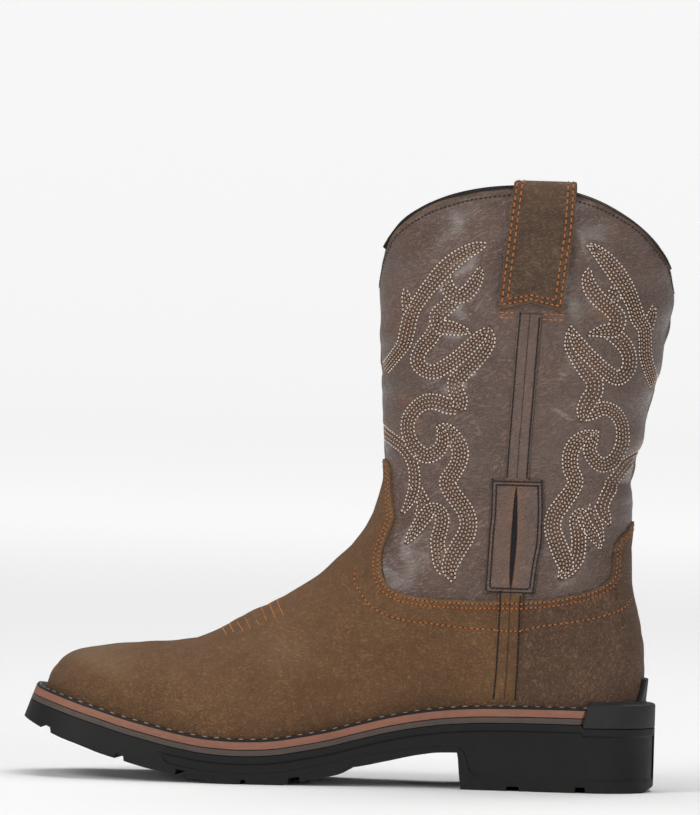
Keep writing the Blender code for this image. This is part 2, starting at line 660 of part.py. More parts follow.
def groove_cutter(cutters):
    """Bars that cut the tread's grooves, turned to follow the curve underneath."""
    bars = bmesh.new()
    for x, width, depth, reach, turn in GROOVES:
        slope = float(column(TREAD, x + 1.5) - column(TREAD, x - 1.5)) / 3.0
        bottom = float(column(TREAD, x))
        for side, sign in ((1, -1.0), (2, 1.0)):
            half = float(sole_edge(x, side, SOLE_TOE))
            long = half * reach + 6.0
            middle = sign * (half + 6.0 - long / 2)
            made = bmesh.ops.create_cube(bars, size=1.0)["verts"]
            inward = math.tan(math.radians(turn)) / 2
            for corner in made:
                y = middle + corner.co.y * long
                at = x + corner.co.x * width + inward * (half - sign * y)
                z = bottom + corner.co.z * 2 * depth + slope * (at - x)
                corner.co = place([(at, y, z)])[0]
    mesh = bpy.data.meshes.new("grooves")
    bars.to_mesh(mesh)
    bars.free()
    return make_cutter("grooves", mesh, cutters)


def band_end(z):
    """Where the heel seat's band ends: its edge leans forward towards the ground."""
    return BAND_END + BAND_LEAN * (z - BAND_END_LEVEL)


def make_layer(name, top_drop, thickness, rear_drop, colour, roughness, parts):
    """A midsole layer: full width in front, and inside the heel seat's band behind."""
    sections = []
    last_wide = BAND_END - 0.7
    first_narrow = BAND_END - 0.5
    for x in stations([last_wide, first_narrow], 34):
        if x > UPPER_HEEL - 2.0:
            continue
        corners = []
        under = rear_drop if x > BAND_END - 0.6 else 0.0
        for drop in (top_drop, top_drop + thickness + under):
            toe = toe_at_drop(drop)
            at = lean(x, toe)
            z = float(seat_height(at)) - drop
            if last_wide - 0.1 < x < first_narrow + 0.1:
                at += band_end(z) - BAND_END
            if x < BAND_END - 0.6:
                corners.append(level_pair(at, z, toe))
            else:
                room = [float(half_width(at, LAYER_LEVEL, side)) - 0.4 for side in (1, 2)]
                corners.append(((at, -room[0], z), (at, room[1], z)))
        outer = [pair[0] for pair in corners]
        inner = [pair[1] for pair in corners]
        sections.append(outer + inner[::-1])
    new_object(name, loft_mesh(name, sections), parts, material(name + "_foam", colour, roughness))


def make_welt(parts):
    """The welt: a strip round the upper, from the heel seat by the toe and back."""
    sections = []
    clear = OVERLAY_GAP + OVERLAY + 2 * GAP
    half_turn = np.linspace(0.0, math.pi, 361)
    last = float(np.interp(BAND_END - 1.2, foot_x(half_turn), half_turn))
    for turn in np.linspace(-last, last, WELT_SECTIONS):
        section = [welt_point(turn, GAP, clear), welt_point(turn, GAP + WELT, clear)]
        section += [welt_rim(turn, GAP + WELT), welt_rim(turn, GAP)]
        sections.append(section)
    new_object("welt", loft_mesh("welt", sections), parts, material("welt_rubber", BLACK, 0.65))


def foot_x(turn):
    """Place along the boot of the lowest ring's points."""
    return UPPER_TOE + (UPPER_HEEL - UPPER_TOE) * (1 - np.cos(turn)) / 2


def welt_point(turn, lift, clear):
    """A point beside the foot of the upper, just clear of it, at a height above the midsole."""
    around = turn + np.array([-0.01, 0.0, 0.01])
    x = foot_x(around)
    z = seat_height(x) + lift
    side = 1 if turn > 0 else 2
    sign = -1.0 if turn > 0 else 1.0
    y = sign * half_width(x, z, side)
    if abs(turn) < 0.01:
        y = np.array([1.0, 0.0, -1.0])
    out = np.array([y[2] - y[0], x[0] - x[2]])
    out = out / np.linalg.norm(out)
    if abs(turn) < 0.01:
        out = np.array([-1.0, 0.0])
    at = float(x[1] + out[0] * clear)
    return at, float(y[1] + out[1] * clear), float(seat_height(at)) + lift


def welt_rim(turn, lift):
    """The point of the sole's edge that lies straight out from the upper."""
    along = (1 - math.cos(turn)) / 2
    toe = toe_at_drop(-lift)
    x = toe + 0.06 + (SOLE_HEEL - toe) * along
    level = float(seat_height(x)) + lift
    x = min(x, band_end(level) - GAP)
    side = 1 if turn > 0 else 2
    sign = -1.0 if turn > 0 else 1.0
    y = sign * float(sole_edge(x, side, toe))
    return x, y, level


def reach_from_heel(angle, inside):
    """How far an outline lies from the heel's middle, in a direction seen from above."""
    near = 5.0
    far = 60.0
    for _ in range(40):
        middle = (near + far) / 2
        x = HEEL_X + middle * math.cos(angle)
        y = abs(middle * math.sin(angle))
        near, far = (middle, far) if inside(x, y) else (near, middle)
    return near


def heel_radius(angle, z, offset):
    """The upper's face at a height, seen from the heel's middle."""
    side = 1 if math.sin(angle) < 0 else 2
    back = float(column(BACK, z))
    return offset + reach_from_heel(angle, lambda x, y: x < back and y < float(half_width(x, z, side)))


def rim_radius(angle):
    """The sole's edge, seen from the heel's middle."""
    side = 1 if math.sin(angle) < 0 else 2
    return reach_from_heel(angle, lambda x, y: x < SOLE_HEEL and y < float(sole_edge(x, side, SOLE_TOE)))


def make_heel_seat(parts):
    """The moulded band round the heel, with the kick spur standing up behind."""
    low = float(seat_height(130.0)) - RUST - DARK - GAP - BAND_SINK
    clear = OVERLAY_GAP + OVERLAY + 2 * GAP
    widest = math.acos((BAND_END - HEEL_X - 1.0) / HEEL_REACH)
    sections = []
    for angle in np.linspace(-widest, widest, 33):
        reach = rim_radius(angle)
        foot = heel_radius(angle, LAYER_LEVEL, clear)
        across = abs(reach * math.sin(angle))
        share = max(0.0, 1 - (across / SPUR_HALF) ** 2)
        top = SEAT_BAND_TOP + 0.4 + (SPUR_TOP - SEAT_BAND_TOP - 0.4) * min(1.0, 1.5 * share)
        inner_top = heel_radius(angle, top, clear)
        inner_mid = heel_radius(angle, SEAT_BAND_TOP, clear)
        bead = (inner_mid + SPUR, SEAT_BAND_TOP + 0.3)
        tip = (inner_top + SPUR * 0.8, top)
        corners = ((foot, low), (reach, low), (reach, SEAT_BAND_TOP), bead, tip,
                   (inner_top, top), (inner_mid, SEAT_BAND_TOP))
        section = []
        for radius, z in corners:
            x = max(HEEL_X + radius * math.cos(angle), band_end(z))
            section.append((x, radius * math.sin(angle), z))
        sections.append(section)
    new_object("heel_seat", loft_mesh("heel_seat", sections), parts,
               material("heel_seat_rubber", DARK_GREY, 0.55))


def make_insole(parts):
    sections = []
    inset = WALL + 1.0
    start = UPPER_TOE + inset + 1.6
    end = UPPER_HEEL - inset
    even = (1 - np.cos(np.linspace(0.08, math.pi - 0.08, 30))) / 2
    for x in start + (end - start) * even:
        section = []
        for lift in (GAP, GAP + INSOLE):
            z = float(seat_height(x)) + lift
            halves = []
            for side in (1, 2):
                ends = float(rounded_ends(x - start, end - x, INSOLE_ENDS))
                halves.append((float(column(FEATHER_WIDTH, x, side)) - inset - 0.4) * ends)
            section.append((x, -halves[0], halves[1], z))
        low, high = section
        under = [(x, low[1], low[3]), (x, low[2], low[3])]
        over = [(x, high[2], high[3]), (x, high[1], high[3])]
        sections.append(under + over)
    new_object("insole", loft_mesh("insole", sections), parts, material("insole_fabric", BLACK, 0.9))


def main():
    for thing in list(bpy.data.objects):
        bpy.data.objects.remove(thing, do_unlink=True)
    parts = bpy.data.collections.new("western_work_boot")
    cutters = bpy.data.collections.new("cutters")
    bpy.context.scene.collection.children.link(parts)
    bpy.context.scene.collection.children.link(cutters)
    make_outsole(parts, cutters)
    make_layer("midsole_dark", RUST + GAP, DARK, BAND_SINK, GREY_BROWN, 0.6, parts)
    make_layer("midsole_rust", 0.0, RUST, 0.0, RUST_RED, 0.6, parts)
    make_welt(parts)
    make_heel_seat(parts)
    make_insole(parts)
    make_upper(parts, cutters)
    make_overlay("vamp", True, BROWN, parts, cutters)
    make_overlay("counter", False, BROWN_DARK, parts, cutters)
    for side, word in ((1, "outer"), (2, "inner")):
        make_side(side, word, parts, cutters)
        make_strap(side, word, parts)


main()
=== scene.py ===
"""Looks of a western work boot: leather, stitching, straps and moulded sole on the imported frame.

Lengths in the tables are in millimetres, in the frame of the part's own source: x from the middle of
the sole's length, toe to -x, heel to +x, z up. Side 1 is the outer side, facing -Y, side 2 the inner.
"""

import math

import bpy
import numpy as np
from mathutils import Matrix, Vector


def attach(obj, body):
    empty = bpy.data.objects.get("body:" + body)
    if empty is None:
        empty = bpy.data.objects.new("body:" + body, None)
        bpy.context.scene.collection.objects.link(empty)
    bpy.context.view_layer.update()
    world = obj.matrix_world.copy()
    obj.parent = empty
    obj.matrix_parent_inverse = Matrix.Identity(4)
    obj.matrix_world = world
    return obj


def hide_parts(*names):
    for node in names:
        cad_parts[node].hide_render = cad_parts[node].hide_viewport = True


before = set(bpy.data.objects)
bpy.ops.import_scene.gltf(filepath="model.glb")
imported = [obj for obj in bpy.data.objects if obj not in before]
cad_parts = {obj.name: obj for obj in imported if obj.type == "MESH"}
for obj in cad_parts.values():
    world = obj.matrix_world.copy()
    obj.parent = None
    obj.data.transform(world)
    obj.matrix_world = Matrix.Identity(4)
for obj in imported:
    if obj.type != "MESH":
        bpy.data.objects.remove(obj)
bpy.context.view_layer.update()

bl_info = {
    "name": "Western work boot",
    "version": (1, 0, 0),
    "blender": (4, 5, 0),
    "location": "View3D > Sidebar > Boot",
    "description": "Dresses the packed boot in leather, stitching and rubber",
    "category": "Object",
}

MM = 0.001
CENTRE_X = 1.35
SOLE_TOE = -152.5
SOLE_TOE_TOP = -147.4
SOLE_HEEL = 152.5
UPPER_TOE = -140.5
UPPER_HEEL = 143.6
GAP = 0.3
WALL = 1.6
RUST = 2.9
DARK = 2.8
WELT = 2.0
INSOLE = 3.5
TOE_LEAN = 0.33
RECESS = 0.9
PANEL_START = -86.0
BAND_END = 119.0
BAND_END_LEVEL = 39.0
BAND_LEAN = 0.33
BAND_SINK = 1.7
SEAT_BAND_TOP = 43.0
SPUR_TOP = 54.6
SPUR_HALF = 17.0
COLLAR_FRONT = 241.5
COLLAR_BACK = 243.0
COLLAR_RISE = 48.0
COLLAR_STARTS = 198.0
SAG_ENDS = 82.0
SHAFT_BLEND = (62.0, 112.0)
BLEND_SLOPE = 0.15
HEEL_PULL = (40.0, 110.0)
SWELL_HEIGHT = 44.0
HEEL_X = 108.0
HEEL_REACH = 40.5
STRAP_TOP = 289.8
STRAP_INSIDE = 247.0
STRAP_NOTCH = 4.0
STRAP_WIDE = 31.0
SIDE_GAP = 0.55
LINING_DEPTH = 1.28
LINING_EDGE = 0.42
COLLAR_OUT = 0.22
ROWS_SINK = 0.42
SCROLL_SPREAD = 1.14
FOOT_RIPPLE = 0.13
SHAFT_RIPPLE = 0.17
FOOT_ENDS = ((36.0, 2.7), (35.0, 2.1))
SOLE_ENDS = ((40.0, 2.8), (38.0, 2.15))
SIDES = ((1, "outer"), (2, "inner"))

WHITE = (1.0, 1.0, 1.0, 1.0)
# Painted shade of the needle holes: dark discs stand in for the shade inside each hole
HOLE_DARK = (0.004, 0.004, 0.004, 1.0)
HOLE_PALE = (0.012, 0.011, 0.011, 1.0)

# Name, place, size, power and aim of each lamp, in metres and watts
LAMPS = (
    ("key_light", (-1.9, -2.2, 2.1), 1.2, 42.0, (0.0, 0.0, 0.15)),
    ("fill_light", (2.4, -1.9, 1.5), 1.2, 14.0, (0.05, 0.0, 0.15)),
    ("side_panel", (-1.9, -2.4, 0.7), 0.6, 22.0, (0.07, 0.0, 0.2)),
    ("other_panel", (1.7, -2.7, 0.6), 0.5, 13.0, (0.07, 0.0, 0.2)),
    ("top_light", (0.0, 0.3, 2.6), 2.0, 34.0, (0.0, 0.0, 0.0)),
    ("back_light", (0.6, 1.1, 1.5), 0.8, 5.0, (0.0, 0.0, 0.2)),
)
ROOM_LIGHT = 0.26

# Where the camera looks, how far off it is and the width that it takes in, in metres, and its angles
CAMERA_TARGET = (-0.0010, 0.0, 0.1812)
CAMERA_AWAY = 6.0
CAMERA_NEAR = 0.03
CAMERA_WIDTH = 0.337
CAMERA_TURN = math.radians(1.2)
CAMERA_RAISED = math.radians(1.4)
SENSOR = 36.0

# The floor's own light makes up for the lamps' falling off: from and to which distance, in metres
GLOW_STARTS = 0.3
GLOW_FULL = 4.0
GLOW = 0.63

# The photograph's scale and tilt, for places that are read off it
PICTURE_MM = 0.48145
PICTURE_TILT = math.radians(1.75)
PICTURE_FOOT = (434.0, 787.4, 46.83)

# Two short rows under each pull strap, on either side of the seam, in the photograph's places
STRAP_MARKS = (
    (500, 310.6, 523, 311.6), (500, 316, 523, 317), (542, 312.6, 564, 313.4), (542, 318, 564, 318.6),
)
PATCH_HEIGHTS = (94.6, 150.2)
BROWN_THREAD = (0.05, 0.03, 0.02, 1.0)
WELT_THREAD = (0.30, 0.235, 0.19, 1.0)

FRONT = (
    # x, z
    (-140.5, 41.2), (-139.8, 45.0), (-138.3, 49.5), (-135.2, 53.8), (-129.8, 57.3),
    (-123.0, 59.5), (-112.0, 61.6), (-98.0, 62.8), (-84.0, 63.9), (-72.0, 65.4),
    (-61.0, 69.6), (-50.0, 76.0), (-38.5, 81.9), (-27.0, 88.0), (-15.5, 95.6),
    (-3.7, 105.4), (6.6, 116.6), (12.2, 124.5), (15.2, 131.5), (17.4, 140.0),
    (18.5, 148.0), (18.4, 157.0), (17.1, 170.3), (16.2, 181.8), (15.4, 193.3),
    (14.6, 205.0), (14.2, 216.4), (13.8, 228.0), (13.2, 238.0), (13.0, 246.0), (13.0, 292.0),
)
BACK = (
    # z, x
    (36.0, 143.4), (45.0, 144.2), (53.0, 144.6), (60.0, 144.6), (70.0, 143.9), (82.0, 142.0),
    (93.0, 139.2), (104.5, 137.4), (116.0, 137.0), (128.0, 137.9), (139.0, 138.4),
    (148.0, 137.6), (156.7, 138.6), (168.3, 141.8), (180.0, 143.9), (191.6, 146.5),
    (203.2, 149.4), (215.0, 151.3), (226.5, 153.5), (238.0, 155.0), (246.0, 155.0), (292.0, 155.0),
)
RING_ENDS = (
    # front z, back z
    (41.2, 39.0), (49.5, 43.5), (59.5, 48.0), (65.4, 57.0), (76.0, 68.0), (88.0, 82.0),
    (105.4, 101.0), (124.5, 120.0), (148.0, 145.0), (181.8, 181.0), (COLLAR_FRONT, COLLAR_BACK),
)
SEAT = (
    # x, z
    (-153.0, 43.6), (-145.2, 41.2), (-134.5, 38.0), (-124.7, 34.9), (-115.0, 32.1),
    (-105.3, 29.2), (-90.8, 25.6), (-76.4, 22.4), (-61.7, 20.2), (-47.2, 19.5), (-38.0, 19.7),
    (-28.6, 20.5), (-19.0, 22.1), (-4.1, 25.1), (10.0, 28.9), (24.6, 32.6), (39.0, 35.4),
    (53.4, 37.3), (72.6, 38.5), (101.5, 38.9), (153.0, 38.9),
)
TREAD = (
    # x, z
    (-153.0, 28.2), (-141.7, 22.9), (-133.9, 19.5), (-124.2, 16.2), (-114.4, 12.7),
    (-104.7, 10.0), (-90.2, 6.2), (-77.1, 3.7), (-66.0, 1.7), (-55.0, 0.0), (-34.0, 0.0),
    (-22.0, 1.2), (-10.0, 3.4), (3.2, 6.6), (5.4, 8.8), (10.9, 9.8), (25.2, 13.0), (39.6, 16.2),
    (49.2, 17.5), (57.6, 17.7), (59.8, 0.0), (146.0, 0.0), (153.0, 3.0),
)
PANEL_FOOT = (
    # x, z
    (-84.5, 12.5), (-82.0, 9.6), (-75.8, 7.8), (-55.5, 5.2), (-42.0, 4.7), (-28.5, 5.8),
    (-8.4, 9.6), (5.0, 13.0), (10.7, 14.4), (32.3, 17.8), (47.2, 19.9), (58.0, 20.2),
    (61.5, 16.5), (64.0, 9.0), (70.0, 6.2), (153.0, 6.0),
)
SOLE_WIDTH = (
    # x, outer side, inner side
    (-153.0, 43.5, 46.0), (-120.0, 47.6, 50.2), (-95.0, 52.6, 54.4), (-75.0, 55.2, 55.4),
    (-55.0, 55.4, 53.3), (-35.0, 52.6, 47.6), (-10.0, 47.0, 41.0), (15.0, 42.2, 37.0),
    (40.0, 39.4, 35.9), (70.0, 38.4, 37.0), (100.0, 38.7, 38.3), (153.0, 38.4, 38.4),
)
FEATHER_WIDTH = (
    # x, outer side, inner side
    (-141.0, 35.5, 37.5), (-120.0, 40.2, 42.6), (-95.0, 45.8, 47.6), (-75.0, 48.7, 48.9),
    (-55.0, 49.0, 47.0), (-35.0, 46.4, 41.6), (-10.0, 41.2, 35.2), (15.0, 36.8, 31.6),
    (40.0, 34.4, 30.9), (70.0, 33.6, 32.2), (100.0, 33.9, 33.5), (145.0, 33.6, 33.6),
)
FOOT_SECTION = (
    # x, roundness, swell
    (-141.0, 2.7, 0.8), (-110.0, 2.5, 1.0), (-75.0, 2.3, 1.2), (-45.0, 2.1, 2.0),
    (-15.0, 1.95, 3.2), (15.0, 1.9, 3.4), (55.0, 1.9, 2.2), (100.0, 1.9, 0.9), (145.0, 1.9, 0.4),
)
SHAFT_SECTION = (
    # z, half width, place of the widest point, roundness in front, roundness behind
    (40.0, 34.0, 0.62, 1.9, 2.7), (80.0, 34.6, 0.62, 1.9, 2.6), (105.0, 35.0, 0.60, 1.9, 2.5),
    (128.0, 37.4, 0.56, 1.95, 2.4), (150.0, 41.0, 0.53, 2.05, 2.3), (175.0, 44.4, 0.51, 2.1, 2.2),
    (200.0, 46.8, 0.50, 2.1, 2.15), (230.0, 48.6, 0.50, 2.15, 2.15), (292.0, 49.8, 0.50, 2.2, 2.2),
)
OVERLAY_EDGE = (
    # x, z
    (0.0, 159.0), (20.4, 155.0), (21.8, 146.0), (22.6, 137.0), (24.1, 129.6), (22.2, 122.7),
    (19.3, 114.0), (18.5, 107.7), (19.1, 102.9), (21.2, 97.7), (26.1, 94.0), (33.9, 92.3),
    (44.5, 91.4), (60.4, 91.2), (75.8, 91.6), (95.1, 92.7), (109.9, 95.1), (119.5, 97.8),
    (125.2, 100.8), (128.9, 104.3), (129.7, 108.7), (129.8, 113.3), (130.4, 117.9),
    (135.9, 127.2), (139.8, 132.6), (146.0, 136.0),
)
SEAM = (
    # z, x, half width
    (36.0, 79.0, 6.4), (60.0, 80.3, 6.0), (96.0, 81.0, 5.8), (148.0, 82.3, 5.8),
    (190.0, 84.2, 5.8), (232.0, 86.5, 5.8), (292.0, 91.5, 5.8),
)
PATCH = (
    # z, front x, back x
    (95.9, 69.1, 91.2), (109.0, 69.6, 92.6), (122.8, 70.2, 94.4), (134.0, 70.9, 94.5), (148.0, 70.9, 93.9),
)
SLIT = (
    # z, x, half width
    (96.6, 81.0, 0.15), (104.0, 81.2, 0.7), (113.0, 81.6, 1.1), (122.0, 81.9, 1.2),
    (131.0, 82.1, 1.0), (140.0, 82.2, 0.6), (146.6, 82.3, 0.15),
)
STRAP_EDGES = (
    # z, front x, back x
    (231.4, 70.4, 102.4), (250.0, 71.8, 104.3), (273.0, 74.0, 106.7), (293.0, 76.2, 107.2),
)
GROOVES = (
    # x, width, depth, share of the half width that they run in, turn in degrees
    (-140.6, 4.4, 2.2, 0.62, 10.0), (-122.5, 3.0, 1.6, 0.50, 12.0), (-104.4, 4.0, 2.2, 0.62, 14.0),
    (-89.5, 3.0, 1.6, 0.50, 16.0), (-74.4, 5.4, 2.8, 0.62, 16.0), (-59.5, 3.0, 1.6, 0.50, 16.0),
    (-44.6, 2.6, 2.2, 0.62, 16.0), (-32.0, 3.0, 1.6, 0.50, 14.0), (-20.2, 5.6, 2.4, 0.62, 12.0),
    (-7.0, 3.0, 1.6, 0.50, 10.0), (84.9, 6.0, 2.2, 0.62, 0.0), (101.0, 3.0, 1.6, 0.50, 0.0),
    (117.3, 4.8, 2.8, 0.62, 0.0), (133.5, 3.0, 1.6, 0.50, 0.0),
)

# Ribbons of decorative stitching on the shaft, front motif and back motif: each is a middle line
# with half its width, at places in the photograph
FRONT_SCROLL = (
    # picture x, picture y, half width in picture units
    ((487, 243, 1.2), (478, 246, 4.5), (466, 252, 6.0), (452, 262, 6.8), (440, 274, 6.8), (430, 286, 6.0),
     (422, 297, 5.5), (415, 307, 5.5), (410, 318, 6.2), (407.5, 331, 6.0), (404, 343, 5.5), (397, 353, 5.2),
     (389, 363, 5.0), (383, 370, 5.0)),
    ((405, 288, 1.2), (406, 296, 4.0), (408, 305, 5.0), (410, 314, 5.5)),
    ((443, 271, 6.0), (446, 281, 6.0), (452, 291, 6.0), (461, 295, 6.0), (470, 289, 6.0), (476, 281, 5.5),
     (480, 273, 4.0), (481, 266, 1.2)),
    ((456, 299, 6.0), (446, 307, 6.5), (438, 316, 6.5), (440, 324, 6.0), (452, 327, 6.0), (462, 329, 4.2),
     (471, 330.5, 1.2)),
    ((440, 322, 6.5), (430, 338, 6.5), (421, 348, 6.0), (418, 359, 5.8), (424, 368, 5.8), (434, 371, 5.8),
     (446, 365, 5.8), (458, 357, 5.8), (470, 346, 5.8), (481, 335, 5.0), (489, 326, 1.2)),
    ((489, 327, 2.0), (490, 338, 5.0), (484, 350, 6.0), (474, 362, 6.0), (464, 372, 6.2), (456, 380, 6.5),
     (457, 390, 6.5), (461, 399, 6.0), (459, 409, 5.0)),
    ((459, 407, 5.0), (449, 405, 6.5), (438, 401, 6.5), (427, 401, 6.5), (417, 407, 6.0), (410, 417, 5.8),
     (408, 430, 5.5), (411, 441, 5.5), (418, 450, 6.0), (428, 455, 6.0), (437, 451, 6.0), (443, 442, 5.5),
     (442, 432, 4.5), (438, 424, 1.2)),
    ((437, 424, 1.2), (447, 428, 5.0), (456, 438, 6.5), (461, 448, 7.0), (460, 460, 7.0), (454, 471, 7.0),
     (448, 481, 7.0), (452, 490, 7.0), (459, 500, 7.0), (466, 511, 7.0), (469, 523, 7.0), (466, 535, 7.5),
     (459, 547, 7.5), (453, 558, 7.5), (450, 568, 6.5), (454, 581, 1.2)),
    ((447, 572, 5.0), (441, 562, 6.0), (439, 551, 6.0), (438, 540, 6.0), (441, 529, 6.0), (443, 519, 6.0),
     (441, 511, 5.0), (433, 508, 5.0), (425, 516, 6.0), (417, 527, 5.0), (411, 536, 3.5), (407, 542, 1.2)),
    ((380, 429, 5.0), (386, 434, 5.0), (394, 440, 5.0), (402, 446, 5.0), (410, 455, 5.0), (414, 466, 4.5),
     (415, 478, 4.5), (414, 489, 4.5), (410, 500, 4.0), (402, 513, 1.2)),
    ((415, 484, 4.0), (420, 494, 5.0), (424, 504, 5.5), (421, 516, 5.0)),
)
BACK_SCROLL = (
    # picture x, picture y, half width in picture units
    ((588, 243, 1.2), (595, 248, 4.2), (605, 258, 6.5), (617, 273, 7.4), (627, 289, 7.0), (634, 304, 6.0),
     (638, 318, 6.0), (644, 328, 5.5), (645, 340, 5.0), (646, 355, 5.0), (650, 371, 4.5), (655, 385, 4.2)),
    ((655, 305, 1.2), (652, 314, 4.0), (648, 324, 5.0), (645, 334, 5.0)),
    ((590, 267, 1.2), (588, 276, 4.5), (591, 287, 6.2), (599, 298, 6.5), (610, 307, 6.5), (618, 317, 7.0),
     (615, 328, 6.5), (603, 330, 5.0), (589, 333, 1.2)),
    ((619, 284, 5.5), (615, 293, 6.0), (608, 300, 6.0)),
    ((612, 332, 6.5), (624, 343, 6.5), (630, 357, 6.0), (628, 370, 6.0), (619, 377, 6.0), (606, 370, 6.0),
     (592, 357, 6.0), (580, 344, 6.0), (574, 334, 4.0), (570, 325, 1.2)),
    ((570, 327, 2.0), (571, 343, 5.0), (579, 358, 6.5), (588, 371, 6.8), (595, 381, 7.0), (595, 390, 7.0),
     (589, 400, 7.0), (584, 410, 6.0), (583, 419, 3.0)),
    ((583, 416, 4.0), (593, 411, 6.0), (605, 407, 5.5), (615, 412, 5.5), (622, 423, 5.0), (623, 436, 5.0),
     (620, 450, 5.5), (612, 461, 6.0), (602, 464, 6.0), (594, 458, 5.5), (590, 447, 5.2), (594, 438, 4.0),
     (598, 430, 1.2)),
    ((598, 431, 1.2), (587, 434, 4.5), (577, 441, 6.2), (571, 453, 6.5), (571, 467, 6.5), (576, 480, 6.2),
     (571, 491, 6.5), (563, 502, 7.0), (555, 514, 7.0), (553, 527, 7.0), (557, 540, 7.2), (562, 553, 7.5),
     (566, 564, 7.0), (560, 577, 1.2)),
    ((563, 575, 3.0), (569, 569, 5.0), (577, 557, 6.2), (579, 543, 6.0), (578, 530, 6.0), (577, 518, 5.5),
     (581, 512, 4.0), (586, 523, 5.0), (594, 535, 4.6), (602, 548, 1.2)),
    ((593, 503, 2.0), (593, 515, 5.0), (598, 527, 5.0), (603, 542, 1.5)),
    ((660, 440, 4.0), (650, 447, 4.0), (639, 455, 4.2), (627, 464, 5.0), (618, 476, 5.3), (610, 488, 5.2),
     (605, 499, 5.0), (603, 508, 5.0), (607, 517, 3.6), (610, 523, 1.2)),
)

# Soft creases in the leather: troughs below zero, ridges above
SHAFT_CREASES = (
    # from x, z, to x, z, bow, half width, height, side (0 both)
    (139.5, 149.5, 122.0, 154.0, 1.5, 2.2, -0.9, 0),
    (139.5, 156.5, 126.0, 160.0, 1.0, 2.6, 0.5, 0),
    (139.5, 143.0, 127.0, 146.0, 1.0, 2.6, 0.4, 0),
    (50.0, 203.0, 76.0, 190.0, 1.5, 1.7, -0.34, 1),
    (48.0, 197.0, 78.0, 183.5, 1.8, 1.8, -0.38, 1),
    (53.0, 190.0, 77.0, 178.0, 1.4, 1.6, -0.30, 1),
    (50.0, 207.0, 72.0, 198.0, 1.0, 1.6, -0.22, 1),
    (56.0, 184.0, 78.0, 171.0, 1.4, 1.9, -0.28, 1),
    (92.0, 204.0, 112.0, 193.0, 1.4, 1.7, -0.30, 1),
    (92.0, 196.0, 114.0, 186.0, 1.6, 1.8, -0.34, 1),
    (90.0, 187.0, 113.0, 177.0, 1.4, 1.7, -0.30, 1),
    (90.0, 178.0, 110.0, 168.0, 1.2, 1.8, -0.28, 1),
    (92.0, 169.0, 108.0, 160.0, 1.2, 1.8, -0.24, 1),
    (58.0, 165.0, 64.0, 140.0, -2.0, 6.0, 0.9, 0),
    (98.0, 206.0, 106.0, 196.0, -1.0, 5.0, 0.8, 1),
    (30.0, 262.0, 42.0, 248.0, 0.0, 8.0, 0.7, 1),
    (120.0, 262.0, 134.0, 250.0, 0.0, 7.0, 0.5, 1),
    (54.0, 128.0, 62.0, 104.0, 2.0, 2.4, -0.45, 0),
    (47.0, 132.0, 56.0, 112.0, 1.0, 3.0, 0.4, 0),
    (98.0, 131.0, 102.0, 104.0, -2.0, 4.0, 0.4, 0),
    (22.0, 214.0, 36.0, 206.0, 1.0, 3.0, -0.25, 1),
    (52.0, 205.0, 78.0, 193.0, 1.4, 1.9, -0.30, 2),
    (50.0, 193.0, 79.0, 180.0, 1.6, 1.9, -0.34, 2),
    (90.0, 199.0, 114.0, 190.0, 1.5, 1.9, -0.32, 2),
    (92.0, 184.0, 112.0, 173.0, 1.4, 1.8, -0.30, 2),
    (28.0, 258.0, 42.0, 246.0, 0.0, 8.0, 0.6, 2),
)
FOOT_CREASES = (
    # from x, z, to x, z, bow, half width, height, side (0 both)
    (-58.0, 66.0, -40.0, 52.0, 3.0, 5.0, -0.5, 0),
    (-44.0, 74.0, -24.0, 58.0, 3.0, 6.0, -0.4, 0),
    (-10.0, 50.0, 20.0, 48.0, 2.0, 7.0, -0.5, 1),
    (0.0, 100.0, 16.0, 82.0, 2.0, 5.0, -0.5, 0),
    (8.0, 108.0, 19.0, 96.0, 1.0, 3.0, 0.5, 0),
    (-4.0, 92.0, 10.0, 72.0, 3.0, 6.0, 0.5, 0),
    (-104.0, 50.0, -70.0, 44.0, 2.0, 9.0, 0.4, 0),
    (100.0, 84.0, 128.0, 82.0, 1.0, 3.5, -0.35, 0),
    (98.0, 75.0, 130.0, 73.0, 1.0, 4.0, 0.3, 0),
    (104.0, 64.0, 134.0, 63.0, 1.0, 4.0, -0.25, 0),
    (118.0, 96.0, 136.0, 92.0, 1.0, 2.6, -0.35, 0),
)
# Rubbed and darker places on the outer leather, seen from the side
RUBS = (
    # x, z, reach along, reach up, strength, side (0 both)
    (121.0, 232.0, 6.0, 5.0, 0.9, 1), (25.0, 186.0, 9.0, 3.0, 0.8, 1), (60.0, 276.0, 9.0, 4.0, 0.5, 0),
    (48.0, 118.0, 12.0, 16.0, 0.45, 1), (20.0, 225.0, 6.0, 30.0, 0.35, 0), (78.0, 122.0, 12.0, 30.0, 0.5, 0),
    (30.0, 176.0, 9.0, 10.0, 0.35, 0), (132.0, 108.0, 8.0, 7.0, 0.4, 0), (130.0, 270.0, 10.0, 6.0, 0.4, 0),
)
THIRD_ROW = (
    # picture x, picture y of the lowest row of stitches round the foot
    (356.5, 568), (355.7, 585), (361, 593), (374, 608), (389.5, 615.5), (413, 621), (439, 624), (465, 627),
    (492, 628.5), (514, 630), (543, 625), (566, 622), (592, 618), (611, 613), (622, 608), (630, 598), (636, 590),
)
TOE_MARKS = (
    # picture x, picture y at both ends of each short row on the vamp
    (277, 604, 284, 618), (269.5, 608, 276, 620.5), (261, 611, 267, 623), (253, 616, 259.5, 628),
    (245.5, 622, 251, 631), (238, 626, 244, 634), (229, 626.5, 235, 635.5), (222, 631, 228, 638),
)


